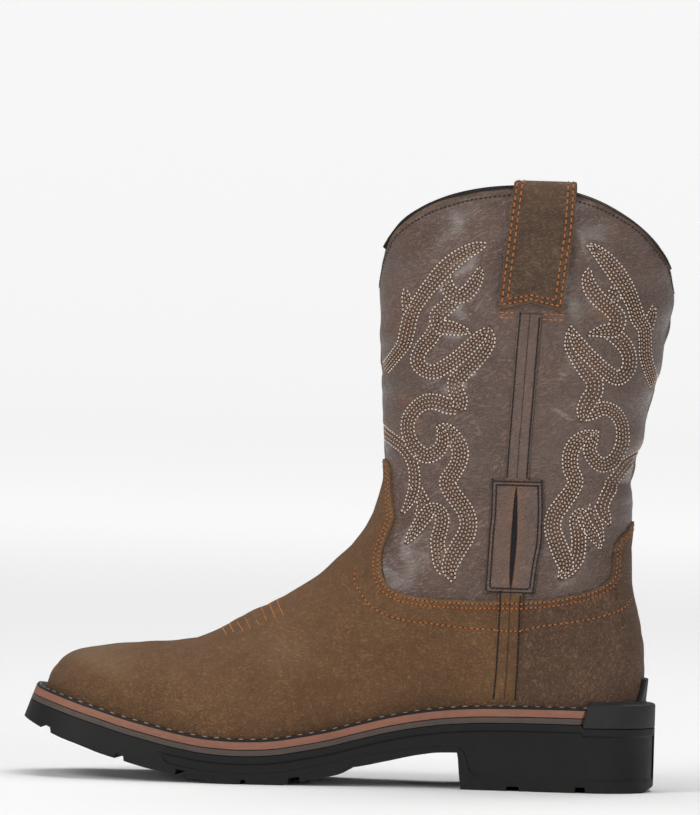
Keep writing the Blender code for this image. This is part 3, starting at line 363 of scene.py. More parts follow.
def column(table, at, number=1):
    """Reads a table's column at the given places, on a smooth curve that never overshoots."""
    rows = np.array(table, dtype=float)
    places, values = rows[:, 0], rows[:, number]
    step = np.diff(places)
    slope = np.diff(values) / step
    before, after = slope[:-1], slope[1:]
    weight_before, weight_after = step[:-1] + 2 * step[1:], 2 * step[:-1] + step[1:]
    turning = before * after <= 0
    parts = weight_before / np.where(turning, 1.0, before) + weight_after / np.where(turning, 1.0, after)
    inner = np.where(turning, 0.0, (weight_before + weight_after) / parts)
    tangent = np.concatenate([slope[:1], inner, slope[-1:]])
    at = np.clip(np.asarray(at, dtype=float), places[0], places[-1])
    row = np.clip(np.searchsorted(places, at, side="right") - 1, 0, len(step) - 1)
    t = (at - places[row]) / step[row]
    rise = values[row + 1] - values[row]
    start = tangent[row] * step[row]
    end = tangent[row + 1] * step[row]
    return values[row] + t * start + t * t * (3 * rise - 2 * start - end) + t ** 3 * (start + end - 2 * rise)


def smoothstep(low, high, value):
    t = np.clip((value - low) / (high - low), 0.0, 1.0)
    return t * t * (3 - 2 * t)


def rounded_end(distance, radius, power):
    t = np.clip(1 - distance / radius, 0.0, 1.0)
    return (1 - t ** power) ** (1 / power)


def rounded_ends(from_toe, from_heel, front, behind):
    return rounded_end(from_toe, *front) * rounded_end(from_heel, *behind)


def unit(vectors):
    return vectors / np.maximum(np.linalg.norm(vectors, axis=-1, keepdims=True), 1e-9)


def hill(value, middle, half):
    """A soft hill, 1 at its middle."""
    return np.exp(-((value - middle) / half) ** 2)


def path_length(x, z):
    """Length along a line of places, from its start."""
    return np.concatenate([[0.0], np.cumsum(np.hypot(np.diff(x), np.diff(z)))])


def front_line():
    x, z = np.array(FRONT).T
    length = path_length(x, z)
    fine = np.linspace(0.0, length[-1], 1600)
    return fine, column(np.column_stack([length, x]), fine), column(np.column_stack([length, z]), fine)


LENGTHS, FRONT_X, FRONT_Z = front_line()
SHAFT_FRONT = int(np.argmax(FRONT_X))
FRONT_LENGTH = float(np.interp(COLLAR_FRONT, FRONT_Z, LENGTHS))


def seat_height(x):
    return column(SEAT, x)


def half_width(x, z, side):
    """Half width of the upper's outer face at a place seen from the side."""
    x = np.asarray(x, dtype=float)
    z = np.asarray(z, dtype=float)
    back_x = column(BACK, z)
    front_x = np.interp(z, FRONT_Z, FRONT_X)
    ridge_z = np.interp(x, FRONT_X[:SHAFT_FRONT], FRONT_Z[:SHAFT_FRONT])
    ridge_z = ridge_z + 6.0 * np.maximum(x - FRONT_X[SHAFT_FRONT], 0.0)
    foot_z = seat_height(x)
    pulled = x + (UPPER_HEEL - back_x) * smoothstep(*HEEL_PULL, x)
    power = column(FOOT_SECTION, x, 1)
    up = np.clip((z - foot_z) / np.maximum(ridge_z - foot_z, 0.01), 0.0, 1.0)
    closing = (1 - up ** power) ** (1 / power)
    low = np.clip((z - foot_z) / SWELL_HEIGHT, 0.0, 1.0)
    swell = column(FOOT_SECTION, x, 2) * 4 * low * (1 - low)
    ends = rounded_ends(pulled - UPPER_TOE, UPPER_HEEL - pulled, *FOOT_ENDS)
    foot = (column(FEATHER_WIDTH, pulled, side) + swell) * ends * closing
    along = np.clip((x - front_x) / np.maximum(back_x - front_x, 1.0), 0.0, 1.0)
    middle = column(SHAFT_SECTION, z, 2)
    ahead = np.clip(1 - along / middle, 0.0, 1.0)
    behind = np.clip((along - middle) / (1 - middle), 0.0, 1.0)
    round_front = column(SHAFT_SECTION, z, 3)
    round_back = column(SHAFT_SECTION, z, 4)
    curve_front = (1 - ahead ** round_front) ** (1 / round_front)
    curve_back = (1 - behind ** round_back) ** (1 / round_back)
    shaft = column(SHAFT_SECTION, z, 1) * np.where(along < middle, curve_front, curve_back)
    blend = smoothstep(*SHAFT_BLEND, z + BLEND_SLOPE * x)
    return foot + (shaft - foot) * blend


def collar_curve(lift, power, soft):
    return ((lift + soft) ** power - soft ** power) / ((1 + soft) ** power - soft ** power)


def ring_point(turn, length):
    """A place on the upper: turn goes round from the front by the outer side, length up the front."""
    turn = np.asarray(turn, dtype=float)
    length = np.asarray(length, dtype=float)
    front_x = np.interp(length, LENGTHS, FRONT_X)
    front_z = np.interp(length, LENGTHS, FRONT_Z)
    back_z = column(RING_ENDS, front_z)
    back_x = column(BACK, back_z)
    along = (1 - np.cos(turn)) / 2
    x = front_x + (back_x - front_x) * along
    level = front_z + (back_z - front_z) * along
    first_x = UPPER_TOE + (UPPER_HEEL - UPPER_TOE) * along
    first_level = FRONT[0][1] + (RING_ENDS[0][1] - FRONT[0][1]) * along
    sag = first_level - seat_height(first_x) - GAP
    sag = sag * (np.clip(1 - length / SAG_ENDS, 0.0, 1.0) ** 1.6)
    lift = np.sin(turn) ** 2
    front_rise = collar_curve(lift, 0.33, 0.001)
    back_rise = collar_curve(lift, 0.55, 0.004)
    rise = front_rise + (back_rise - front_rise) * smoothstep(0.35, 0.65, along)
    share = np.clip((level - COLLAR_STARTS) / (COLLAR_FRONT - COLLAR_STARTS), 0.0, 1.0)
    z = level - sag + COLLAR_RISE * rise * share ** 1.4
    outer = half_width(x, z, 1)
    inner = half_width(x, z, 2)
    y = np.where(np.sin(turn) >= 0, -outer, inner)
    y = np.where(np.abs(np.sin(turn)) < 1e-9, 0.0, y)
    return np.stack([x, y, z], axis=-1)


def ring_normal(turn, length):
    reach = 0.012
    around = ring_point(turn + reach, length) - ring_point(turn - reach, length)
    above = ring_point(turn, np.minimum(length + 0.8, FRONT_LENGTH))
    below = ring_point(turn, np.maximum(length - 0.8, 0.0))
    return unit(np.cross(around, above - below))


def side_of(points):
    """1 on the outer side, 2 on the inner."""
    return np.where(points[..., 1] <= 0, 1, 2)


def skin(x, z, side, offset):
    """A place on one side of the upper, moved out along the normal."""
    x = np.asarray(x, dtype=float)
    z = np.asarray(z, dtype=float)
    across = half_width(x, z, side)
    slope_x = half_width(x + 0.5, z, side) - half_width(x - 0.5, z, side)
    slope_z = half_width(x, z + 0.5, side) - half_width(x, z - 0.5, side)
    size = np.sqrt(1 + slope_x ** 2 + slope_z ** 2)
    sign = -1.0 if side == 1 else 1.0
    y = sign * (across + offset / size)
    return np.stack([x - offset * slope_x / size, y, z - offset * slope_z / size], axis=-1)


def skin_normal(x, z, side):
    return skin(x, z, side, 1.0) - skin(x, z, side, 0.0)


def seen_at(px, py):
    """Where a place in the photograph lies on the boot, seen from the side."""
    cos, sin = math.cos(PICTURE_TILT), math.sin(PICTURE_TILT)
    right = np.asarray(px, dtype=float) - PICTURE_FOOT[0]
    down = np.asarray(py, dtype=float) - PICTURE_FOOT[1]
    x = PICTURE_MM * (right * cos + down * sin) + PICTURE_FOOT[2]
    z = PICTURE_MM * (right * sin - down * cos)
    return x, z


def crease_height(rows, x, z, side):
    """Height of the soft troughs and ridges at places seen from the side."""
    height = np.zeros_like(x)
    for x0, z0, x1, z1, bow, half, tall, where in rows:
        along_x, along_z = x1 - x0, z1 - z0
        long = math.hypot(along_x, along_z)
        unit_x, unit_z = along_x / long, along_z / long
        t = ((x - x0) * unit_x + (z - z0) * unit_z) / long
        away = (x - x0) * -unit_z + (z - z0) * unit_x
        away = away - bow * np.sin(np.clip(t, 0, 1) * math.pi) * 2
        past = np.maximum(np.maximum(-t, t - 1), 0.0) * long
        fade = smoothstep(0.0, 0.3, np.clip(t, 0, 1)) * smoothstep(0.0, 0.3, 1 - np.clip(t, 0, 1))
        shape = tall * fade * np.exp(-(away / half) ** 2 - (past / half) ** 2)
        if where:
            shape = np.where(side == where, shape, 0.0)
        height += shape
    return height


def ripple(x, z, side, size):
    """Slight unevenness of leather over a form."""
    shift = np.where(side == 1, 0.0, 2.1)
    waves = ((0.21, 0.13, 0.3, 1.0), (-0.16, 0.24, 1.9, 0.9), (0.09, -0.31, 4.0, 0.6), (0.37, 0.18, 2.7, 0.4),
             (-0.29, -0.11, 5.1, 0.5), (0.05, 0.52, 0.9, 0.25))
    total = np.zeros_like(x)
    for kx, kz, phase, share in waves:
        total += share * np.sin(kx * x + kz * z + phase + shift)
    return total * size


def rub_mask(x, z, side):
    mask = np.zeros_like(x)
    for cx, cz, reach_x, reach_z, strength, where in RUBS:
        spot = strength * hill(x, cx, reach_x) * hill(z, cz, reach_z)
        if where:
            spot = np.where(side == where, spot, 0.0)
        mask = np.maximum(mask, spot)
    return mask


def place(points):
    """Points in metres, in the boot's own frame."""
    moved = np.array(points, dtype=float).reshape(-1, 3)
    moved[:, 0] -= CENTRE_X
    return moved * MM


def make_mesh(name, points, faces, materials, kinds=None, values=None, sharp=40.0):
    """An object from places in millimetres and faces, with smooth shading that breaks at hard edges."""
    mesh = bpy.data.meshes.new(name)
    mesh.from_pydata(place(points), [], faces)
    for finish in materials:
        mesh.materials.append(finish)
    if kinds is not None:
        mesh.polygons.foreach_set("material_index", np.asarray(kinds, dtype=np.int32))
    for key, value in (values or {}).items():
        attribute = mesh.attributes.new(key, "FLOAT", "POINT")
        attribute.data.foreach_set("value", np.asarray(value, dtype=np.float32).reshape(-1))
    mesh.shade_smooth()
    mesh.set_sharp_from_angle(angle=math.radians(sharp))
    thing = bpy.data.objects.new(name, mesh)
    bpy.context.scene.collection.objects.link(thing)
    return thing


def grid_faces(rows, across, closed_round=False, start=0, flip=False):
    r, c = np.meshgrid(np.arange(rows - 1), np.arange(across if closed_round else across - 1), indexing="ij")
    low, high, beside = r * across, (r + 1) * across, (c + 1) % across
    corners = [low + c, low + beside, high + beside, high + c]
    return (np.stack(corners[::-1] if flip else corners, axis=-1).reshape(-1, 4) + start).tolist()


def dress(thing, slot, *nodes):
    """Makes a piece ride on the boot and stand for its solids."""
    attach(thing, "root")
    if nodes:
        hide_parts(*nodes)
    return thing


def edge_profile(distance, radius):
    """Height of a rounded border, from 0 at the edge to 1 inside."""
    t = np.clip(1 - distance / radius, 0.0, 1.0)
    return np.sqrt(np.clip(1 - t ** 2, 0.0, 1.0))


def with_borders(low, high, count, radius):
    """Even places between two ends, with closer ones along both borders."""
    near = radius * np.array([0.0, 0.06, 0.2, 0.45, 0.75, 1.1])
    inner = np.linspace(low + radius * 1.6, high - radius * 1.6, count)
    return np.concatenate([low + near, inner, (high - near)[::-1]])


def feed(tree, socket, value):
    """Links a socket to another node's, or sets its value."""
    if isinstance(value, bpy.types.NodeSocket):
        tree.links.new(value, socket)
    else:
        socket.default_value = value


def add(tree, kind, settings=None, **inputs):
    """A shader node; each input is named with _ for a space, or i and its number."""
    made = tree.nodes.new(kind)
    for key, value in (settings or {}).items():
        setattr(made, key, value)
    for key, value in inputs.items():
        numbered = key[0] == "i" and key[1:].isdigit()
        feed(tree, made.inputs[int(key[1:]) if numbered else key.replace("_", " ")], value)
    return made


def maths(tree, operation, first, second=0.0, clamp=False):
    made = add(tree, "ShaderNodeMath", {"operation": operation, "use_clamp": clamp}, i0=first, i1=second)
    return made.outputs[0]


def times(tree, first, second):
    return maths(tree, "MULTIPLY", first, second)


def plus(tree, first, second, clamp=False):
    return maths(tree, "ADD", first, second, clamp)


def minus(tree, first, second):
    return maths(tree, "SUBTRACT", first, second)


def between(tree, value, low, high, new_low=0.0, new_high=1.0):
    """A smooth ramp of a value."""
    return add(tree, "ShaderNodeMapRange", {"interpolation_type": "SMOOTHSTEP"}, Value=value, From_Min=low,
               From_Max=high, To_Min=new_low, To_Max=new_high).outputs["Result"]


def blend_colour(tree, share, first, second):
    return add(tree, "ShaderNodeMix", {"data_type": "RGBA"}, i0=share, i6=first, i7=second).outputs[2]


def cover(tree, colour, mask, share, over):
    """Lays another colour over a colour, as far as a mask and a share of it say."""
    return blend_colour(tree, times(tree, mask, share), colour, over)


def noise(tree, vector, scale, detail=2.0, roughness=0.5, distortion=0.0):
    return add(tree, "ShaderNodeTexNoise", {"noise_dimensions": "3D"}, Vector=vector, Scale=scale, Detail=detail,
               Roughness=roughness, Distortion=distortion).outputs["Fac"]


def drawn_out(tree, vector, turn, along):
    """Coordinates turned about Y and then scaled upright, so that a pattern is drawn out."""
    turned = add(tree, "ShaderNodeVectorRotate", {"rotation_type": "Y_AXIS"}, Vector=vector, Angle=turn)
    stretch = add(tree, "ShaderNodeCombineXYZ", None, X=1.0, Y=1.0, Z=along)
    return add(tree, "ShaderNodeVectorMath", {"operation": "MULTIPLY"}, i0=turned.outputs[0],
               i1=stretch.outputs[0]).outputs[0]


FLOAT, VECTOR = "NodeSocketFloat", "NodeSocketVector"


def new_group(name, inputs, *outputs):
    """A shader node group that takes a vector and named numbers and gives named numbers."""
    group = bpy.data.node_groups.new(name, "ShaderNodeTree")
    group.interface.new_socket("Vector", in_out="INPUT", socket_type=VECTOR)
    for label, default in inputs.items():
        group.interface.new_socket(label, in_out="INPUT", socket_type=FLOAT).default_value = default
    for label in outputs:
        group.interface.new_socket(label, in_out="OUTPUT", socket_type=FLOAT)
    return group, group.nodes.new("NodeGroupInput").outputs, group.nodes.new("NodeGroupOutput").inputs


def build_grain_group():
    """Leather grain: fine pebbles and drawn-out wrinkles, as a height and a mask of the hollows."""
    group, get, result = new_group("leather grain", {
        "Pebbles": 900.0, "Wrinkles": 260.0, "Stretch": 3.0, "Turn": 0.3, "Pebble Share": 0.5, "Wrinkle Share": 0.5,
    }, "Height", "Hollows")
    warp = add(group, "ShaderNodeTexNoise", None, Vector=get["Vector"], Scale=38.0, Detail=2.0, Roughness=0.5)
    shift = add(group, "ShaderNodeVectorMath", {"operation": "MULTIPLY_ADD"}, i0=warp.outputs["Color"],
                i1=(0.012, 0.012, 0.012), i2=get["Vector"]).outputs[0]
    folds = noise(group, drawn_out(group, shift, get["Turn"], get["Stretch"]), get["Wrinkles"], 3.0, 0.6)
    lines = between(group, maths(group, "ABSOLUTE", minus(group, folds, 0.5)), 0.0, 0.09)
    cells = add(group, "ShaderNodeTexVoronoi", {"feature": "SMOOTH_F1", "distance": "EUCLIDEAN"},
                Vector=shift, Scale=get["Pebbles"], Smoothness=0.4)
    fine = noise(group, get["Vector"], 2600.0, 2.0)
    pebbles = plus(group, minus(group, 1.0, cells.outputs["Distance"]), times(group, fine, 0.25))
    height = plus(group, times(group, pebbles, get["Pebble Share"]), times(group, lines, get["Wrinkle Share"]))
    group.links.new(height, result["Height"])
    group.links.new(minus(group, 1.0, lines), result["Hollows"])
    return group


def build_mottle_group():
    """Uneven tone: wide clouds with smaller ones inside, from 0 to 1."""
    group, get, result = new_group("mottle", {"Size": 30.0, "Fine Size": 200.0, "Fine Share": 0.4}, "Mask")
    wide = noise(group, get["Vector"], get["Size"], 3.0, 0.55, 0.6)
    small = noise(group, get["Vector"], get["Fine Size"], 3.0, 0.6)
    mixed = add(group, "ShaderNodeMix", {"data_type": "FLOAT"}, i0=get["Fine Share"], i2=wide, i3=small).outputs[0]
    group.links.new(between(group, mixed, 0.32, 0.68), result["Mask"])
    return group


def build_nap_group():
    """Fine brushed nap: short strokes that run nearly upright."""
    group, get, result = new_group("nap", {"Strokes": 700.0, "Length": 0.3, "Turn": 0.0}, "Height")
    drawn = drawn_out(group, get["Vector"], get["Turn"], get["Length"])
    strokes = noise(group, drawn, get["Strokes"], 4.0, 0.7, 0.4)
    group.links.new(between(group, strokes, 0.3, 0.7), result["Height"])
    return group


def build_rub_group():
    """Rubbed or soiled places and the midsole's painted highlight: a painted mask broken up so that its border is
    ragged.
    """
    group, get, result = new_group("rub", {"Painted": 0.0, "Raggedness": 0.6, "Size": 160.0}, "Mask")
    broken = noise(group, get["Vector"], get["Size"], 4.0, 0.65)
    part = times(group, minus(group, broken, 0.5), get["Raggedness"])
    total = plus(group, get["Painted"], times(group, part, 2.0))
    limited = times(group, between(group, total, 0.1, 0.9), between(group, get["Painted"], 0.0, 0.15))
    group.links.new(limited, result["Mask"])
    return group


def build_dust_group():
    """Pale dust that settles in clouds on rubber."""
    group, get, result = new_group("dust", {"Amount": 0.3, "Size": 60.0}, "Mask", "Speckle")
    clouds = noise(group, get["Vector"], get["Size"], 5.0, 0.7, 0.3)
    specks = noise(group, get["Vector"], 1500.0, 2.0, 0.6)
    group.links.new(times(group, between(group, clouds, 0.4, 0.75), get["Amount"]), result["Mask"])
    group.links.new(between(group, specks, 0.35, 0.65), result["Speckle"])
    return group


GROUP_MAKERS = {
    "leather grain": build_grain_group, "mottle": build_mottle_group, "nap": build_nap_group,
    "rub": build_rub_group, "dust": build_dust_group,
}


def use_group(tree, name, **inputs):
    """Puts one of the groups in a material, and makes it on first use; returns its outputs."""
    group = bpy.data.node_groups.get(name) or GROUP_MAKERS[name]()
    made = tree.nodes.new("ShaderNodeGroup")
    made.node_tree = group
    for key, value in inputs.items():
        feed(tree, made.inputs[key.replace("_", " ")], value)
    return made.outputs


def mottle(tree, where, size, fine, share):
    return use_group(tree, "mottle", Vector=where, Size=size, Fine_Size=fine, Fine_Share=share)["Mask"]


def grain(tree, where, pebbles, wrinkles, stretch, turn, pebble_share, wrinkle_share):
    return use_group(tree, "leather grain", Vector=where, Pebbles=pebbles, Wrinkles=wrinkles, Stretch=stretch,
                     Turn=turn, Pebble_Share=pebble_share, Wrinkle_Share=wrinkle_share)


def rub(tree, where, name, ragged, size):
    return use_group(tree, "rub", Vector=where, Painted=painted(tree, name), Raggedness=ragged, Size=size)["Mask"]


def bands(tree, where, direction, scale, distortion=0.0):
    return add(tree, "ShaderNodeTexWave", {"wave_type": "BANDS", "bands_direction": direction}, Vector=where,
               Scale=scale, Distortion=distortion).outputs["Fac"]


def painted(tree, name):
    return add(tree, "ShaderNodeAttribute", {"attribute_name": name}).outputs["Fac"]


def start_material(name, roughness, specular, **others):
    """A material with only a Principled BSDF, its constants set; returns it, its tree and coordinates."""
    made = bpy.data.materials.new(name)
    made.use_nodes = True
    tree = made.node_tree
    shader = tree.nodes["Principled BSDF"]
    for key, value in {"Roughness": roughness, "Specular IOR Level": specular, **others}.items():
        shader.inputs[key.replace("_", " ")].default_value = value
    return made, tree, tree.nodes.new("ShaderNodeTexCoord").outputs["Object"]


def finished(made, colour, height, strength, distance, rough=None):
    """Gives a material its colour, bump and, where it varies, its roughness."""
    tree = made.node_tree
    shader = tree.nodes["Principled BSDF"]
    tree.links.new(colour, shader.inputs["Base Color"])
    if rough is not None:
        tree.links.new(rough, shader.inputs["Roughness"])
    bump = add(tree, "ShaderNodeBump", None, Height=height, Strength=strength, Distance=distance)
    tree.links.new(bump.outputs["Normal"], shader.inputs["Normal"])
    return made


def tint(colour, *factors):
    return tuple(min(1.0, part * factor) for part, factor in zip(colour, factors)) + (1.0,)


def shade(colour, factor):
    return tint(colour, factor, factor, factor)


def tones(tree, mask, base, low, high):
    return blend_colour(tree, mask, shade(base, low), shade(base, high))


def shaft_leather(name, colours, wrinkles=0.5):
    """Smooth mauve-brown leather: soft sheen, fine wrinkles, worn tan places, painted shade by the overlays."""
    made, tree, where = start_material(name, 0.42, 0.34, Coat_Weight=0.36, Coat_Roughness=0.26)
    base = tuple(colours.shaft)
    clouds = mottle(tree, where, 22.0, 150.0, 0.35)
    pores = grain(tree, where, 1150.0, 210.0, 3.4, 0.45, 0.35, wrinkles)
    worn = rub(tree, where, "wear_and_highlight", 0.5, 120.0)
    colour = cover(tree, tones(tree, clouds, base, 0.86, 1.10), pores["Hollows"], 0.28, shade(base, 0.55))
    colour = cover(tree, colour, worn, 0.75, tint(base, 1.28, 1.02, 0.72))
    # Painted shade: darker where the leather meets and tucks under the overlays' edge
    colour = cover(tree, colour, painted(tree, "tuck_shade"), 0.55, shade(base, 0.42))
    rough = plus(tree, times(tree, clouds, 0.10), 0.27)
    rough = plus(tree, rough, times(tree, worn, 0.25), clamp=True)
    height = plus(tree, pores["Height"], times(tree, noise(tree, where, 75.0, 3.0, 0.55, 0.4), 3.2))
    return finished(made, colour, height, 1.0, 0.0007, rough)


def foot_leather(name, base, colours, pebbles=0.32, turn=0.0, rough=0.68):
    """Brown waxy leather with a nap: matt, mottled, paler where it is pulled tight, painted shade low down."""
    made, tree, where = start_material(name, 0.78, 0.1, Sheen_Weight=0.04, Sheen_Roughness=0.5)
    clouds = mottle(tree, where, 26.0, 240.0, 0.45)
    nap = use_group(tree, "nap", Vector=where, Strokes=620.0, Length=0.32, Turn=turn)["Height"]
    pores = grain(tree, where, 760.0, 430.0, 1.9, turn, 0.55, 0.45)
    colour = cover(tree, tones(tree, clouds, base, 0.84, 1.22), nap, 0.35, shade(base, 1.30))
    colour = cover(tree, colour, pores["Hollows"], 0.27, shade(base, 0.5))
    colour = cover(tree, colour, rub(tree, where, "pulled", 0.35, 90.0), 0.55, tuple(colours.pulled))
    # Painted shade: darker low down by the welt and at the sheets' lower borders
    colour = cover(tree, colour, painted(tree, "tuck_shade"), 0.6, shade(base, 0.4))
    height = plus(tree, times(tree, nap, 0.5), times(tree, pores["Height"], pebbles * 3.4))
    return finished(made, colour, height, 1.0, 0.0007, plus(tree, times(tree, clouds, 0.12), rough))


def strap_leather(name, colours):
    """Dark brown pebbled leather."""
    made, tree, where = start_material(name, 0.66, 0.35)
    base = tuple(colours.strap)
    pores = grain(tree, where, 620.0, 300.0, 2.6, 0.05, 0.7, 0.8)
    colour = tones(tree, mottle(tree, where, 60.0, 320.0, 0.5), base, 0.78, 1.2)
    colour = cover(tree, colour, pores["Hollows"], 0.5, shade(base, 0.4))
    colour = cover(tree, colour, painted(tree, "wear_and_highlight"), 0.6, tint(base, 2.0, 1.7, 1.4))
    return finished(made, colour, pores["Height"], 0.8, 0.0005)


def cut_edge(name, base):
    """Raw or folded edge of the leather."""
    made, tree, where = start_material(name, 0.75, 0.3)
    clouds = mottle(tree, where, 200.0, 900.0, 0.5)
    return finished(made, tones(tree, clouds, base, 0.7, 1.25), clouds, 0.3, 0.0003)


def lining_cloth(name, colours):
    """Black knitted lining: fine crossed ribs."""
    made, tree, where = start_material(name, 0.9, 0.25, Sheen_Weight=0.1)
    turned = add(tree, "ShaderNodeMapping", None, Vector=where, Rotation=(0.0, 0.785, 0.785)).outputs[0]
    knit = times(tree, bands(tree, turned, "X", 260.0, 1.5), bands(tree, turned, "Z", 260.0, 1.5))
    clouds = mottle(tree, where, 40.0, 300.0, 0.4)
    share = plus(tree, times(tree, knit, 0.6), times(tree, clouds, 0.3))
    return finished(made, tones(tree, share, tuple(colours.lining), 0.6, 1.8), knit, 0.6, 0.0004)


def thread(name, base, spread=0.25):
    """Waxed thread: twisted strands, lighter and darker from stitch to stitch."""
    made, tree, where = start_material(name, 0.55, 0.4)
    colour = tones(tree, mottle(tree, where, 420.0, 1500.0, 0.4), tuple(base), 1 - spread, 1 + spread)
    return finished(made, colour, bands(tree, where, "DIAGONAL", 900.0, 2.0), 0.4, 0.0001)


def moulded_rubber(name, base, gloss, dust):
    """Moulded rubber: faint dust, fine pitted skin, worn paler at the edges."""
    made, tree, where = start_material(name, gloss, 0.18)
    powder = use_group(tree, "dust", Vector=where, Amount=dust, Size=55.0)
    colour = blend_colour(tree, powder["Mask"], tuple(base), tint(shade(base, 2.2), 1.0, 0.98, 0.94))
    colour = cover(tree, colour, powder["Speckle"], 0.25, shade(base, 0.6))
    colour = cover(tree, colour, rub(tree, where, "wear_and_highlight", 0.5, 300.0), 0.5, shade(base, 2.6))
    rough = plus(tree, times(tree, powder["Mask"], 0.6), gloss, clamp=True)
    return finished(made, colour, powder["Speckle"], 0.25, 0.0002, rough)


def foam_rubber(name, base):
    """Foam midsole: tiny cells, slightly streaked along its length, a painted highlight near the ball."""
    made, tree, where = start_material(name, 0.62, 0.35)
    long = add(tree, "ShaderNodeMapping", None, Vector=where, Scale=(0.25, 0.25, 1.0)).outputs[0]
    cells = add(tree, "ShaderNodeTexVoronoi", {"feature": "F1"}, Vector=where, Scale=2200.0)
    pits = between(tree, cells.outputs["Distance"], 0.1, 0.6)
    colour = tones(tree, mottle(tree, long, 120.0, 900.0, 0.45), base, 0.75, 1.12)
    colour = cover(tree, colour, pits, 0.3, shade(base, 1.35))
    # Painted highlight: paler where the mask is set, near the ball
    colour = cover(tree, colour, rub(tree, where, "wear_and_highlight", 0.3, 200.0), 0.5, shade(base, 1.5))
    return finished(made, colour, pits, 0.3, 0.0002)


def dark_hole(name):
    """Needle holes: dark discs painted as the shade inside each hole."""
    made, tree, where = start_material(name, 0.95, 0.1)
    ribs = bands(tree, where, "X", 700.0)
    return finished(made, blend_colour(tree, ribs, HOLE_DARK, HOLE_PALE), ribs, 0.5, 0.0002)


def floor_paint(name, colours):
    """Plain pale floor, lit up a little for the camera where the lamps fall off."""
    made, tree, where = start_material(name, 0.9, 0.1, Emission_Strength=1.0)
    shader = tree.nodes["Principled BSDF"]
    colour = tones(tree, mottle(tree, where, 2.0, 9.0, 0.4), tuple(colours.floor), 0.998, 1.0)
    tree.links.new(colour, shader.inputs["Base Color"])
    reach = add(tree, "ShaderNodeVectorMath", {"operation": "LENGTH"}, i0=where).outputs["Value"]
    seen = tree.nodes.new("ShaderNodeLightPath").outputs["Is Camera Ray"]
    lit = times(tree, between(tree, reach, GLOW_STARTS, GLOW_FULL, 0.0, GLOW), seen)
    tree.links.new(blend_colour(tree, lit, shade(WHITE, 0.0), WHITE), shader.inputs["Emission Color"])
    return made


def length_property(name, description, default, low, high):
    return bpy.props.FloatProperty(name=name, description=description, default=default, min=low, max=high,
                                   unit="LENGTH", subtype="DISTANCE")


class BootSizes(bpy.types.PropertyGroup):
    """Sizes that a user would change."""
    overlay: length_property("Overlay", "How far vamp and counter stand out from the upper", 0.0018, 0.0008, 0.003)
    strip: length_property("Strip", "How far seam strips and patches stand out", 0.00105, 0.0005, 0.003)
    strap: length_property("Strap", "Thickness of the pull straps", 0.0022, 0.001, 0.004)
    scroll_pitch: length_property("Scroll pitch", "From stitch to stitch in the decorative rows", 0.00196, 0.001, 0.004)
    scroll_rows: length_property("Scroll rows", "From row to row in the decorative ribbons", 0.00158, 0.0008, 0.003)
    scroll_thread: length_property("Scroll thread", "Thickness of the decorative thread", 0.00068, 0.0003, 0.0012)
    seam_pitch: length_property("Seam pitch", "From stitch to stitch in the seams", 0.0027, 0.0015, 0.006)
    seam_thread: length_property("Seam thread", "Thickness of the seam thread", 0.0008, 0.0004, 0.0015)
    welt_pitch: length_property("Welt pitch", "From stitch to stitch on the welt", 0.0058, 0.003, 0.01)
    crease: bpy.props.FloatProperty(
        name="Creases", description="Share of the creases' full height", default=1.5, min=0.0, max=2.0)


def colour_property(name, description, default):
    return bpy.props.FloatVectorProperty(name=name, description=description, default=default, size=4, min=0.0,
                                         max=1.0, subtype="COLOR")


class BootColours(bpy.types.PropertyGroup):
    """Colours that a user would change."""
    shaft: colour_property("Shaft", "Smooth leather of the shaft", (0.128, 0.079, 0.061, 1.0))
    vamp: colour_property("Vamp", "Waxy leather over the foot", (0.162, 0.086, 0.042, 1.0))
    counter: colour_property("Counter", "Leather round the heel", (0.150, 0.086, 0.054, 1.0))
    pulled: colour_property("Pulled", "Paler tone where the leather is pulled tight", (0.235, 0.150, 0.088, 1.0))
    strap: colour_property("Strap", "Pebbled leather of the pull straps", (0.100, 0.058, 0.034, 1.0))
    edge: colour_property("Edge", "Folded edge of the collar", (0.12, 0.072, 0.045, 1.0))
    lining: colour_property("Lining", "Cloth inside", (0.012, 0.012, 0.014, 1.0))
    thread_pale: colour_property("Pale thread", "Outer rows of the scroll", (0.68, 0.57, 0.48, 1.0))
    thread_tan: colour_property("Tan thread", "Inner rows of the scroll", (0.50, 0.36, 0.27, 1.0))
    thread_orange: colour_property("Orange thread", "Seams of foot and straps", (0.38, 0.120, 0.026, 1.0))
    thread_black: colour_property("Black thread", "Seams of the shaft", (0.012, 0.010, 0.010, 1.0))
    rubber: colour_property("Rubber", "Outsole", (0.0105, 0.0102, 0.010, 1.0))
    seat: colour_property("Heel seat", "Band round the heel", (0.021, 0.021, 0.022, 1.0))
    welt: colour_property("Welt", "Strip round the foot", (0.014, 0.014, 0.014, 1.0))
    rust: colour_property("Rust midsole", "Upper layer of foam", (0.215, 0.093, 0.060, 1.0))
    taupe: colour_property("Grey-brown midsole", "Lower layer of foam", (0.062, 0.046, 0.038, 1.0))
    floor: colour_property("Floor", "Plain pale floor", (0.90, 0.90, 0.90, 1.0))


def sizes():
    return bpy.context.scene.boot_sizes


def colours():
    return bpy.context.scene.boot_colours


def shaft_surface(turn, length, offset=0.0, raised=True):
    """The shaft's outer face with its creases, and the attributes that its leather reads."""
    base = ring_point(turn, length)
    normal = ring_normal(turn, length)
    side = side_of(base)
    x, z = base[..., 0], base[..., 2]
    height = np.zeros_like(x)
    if raised:
        height = (crease_height(SHAFT_CREASES, x, z, side) + ripple(x, z, side, SHAFT_RIPPLE)) * sizes().crease
    offset = np.asarray(offset, dtype=float) + height
    return base + normal * offset[..., None]


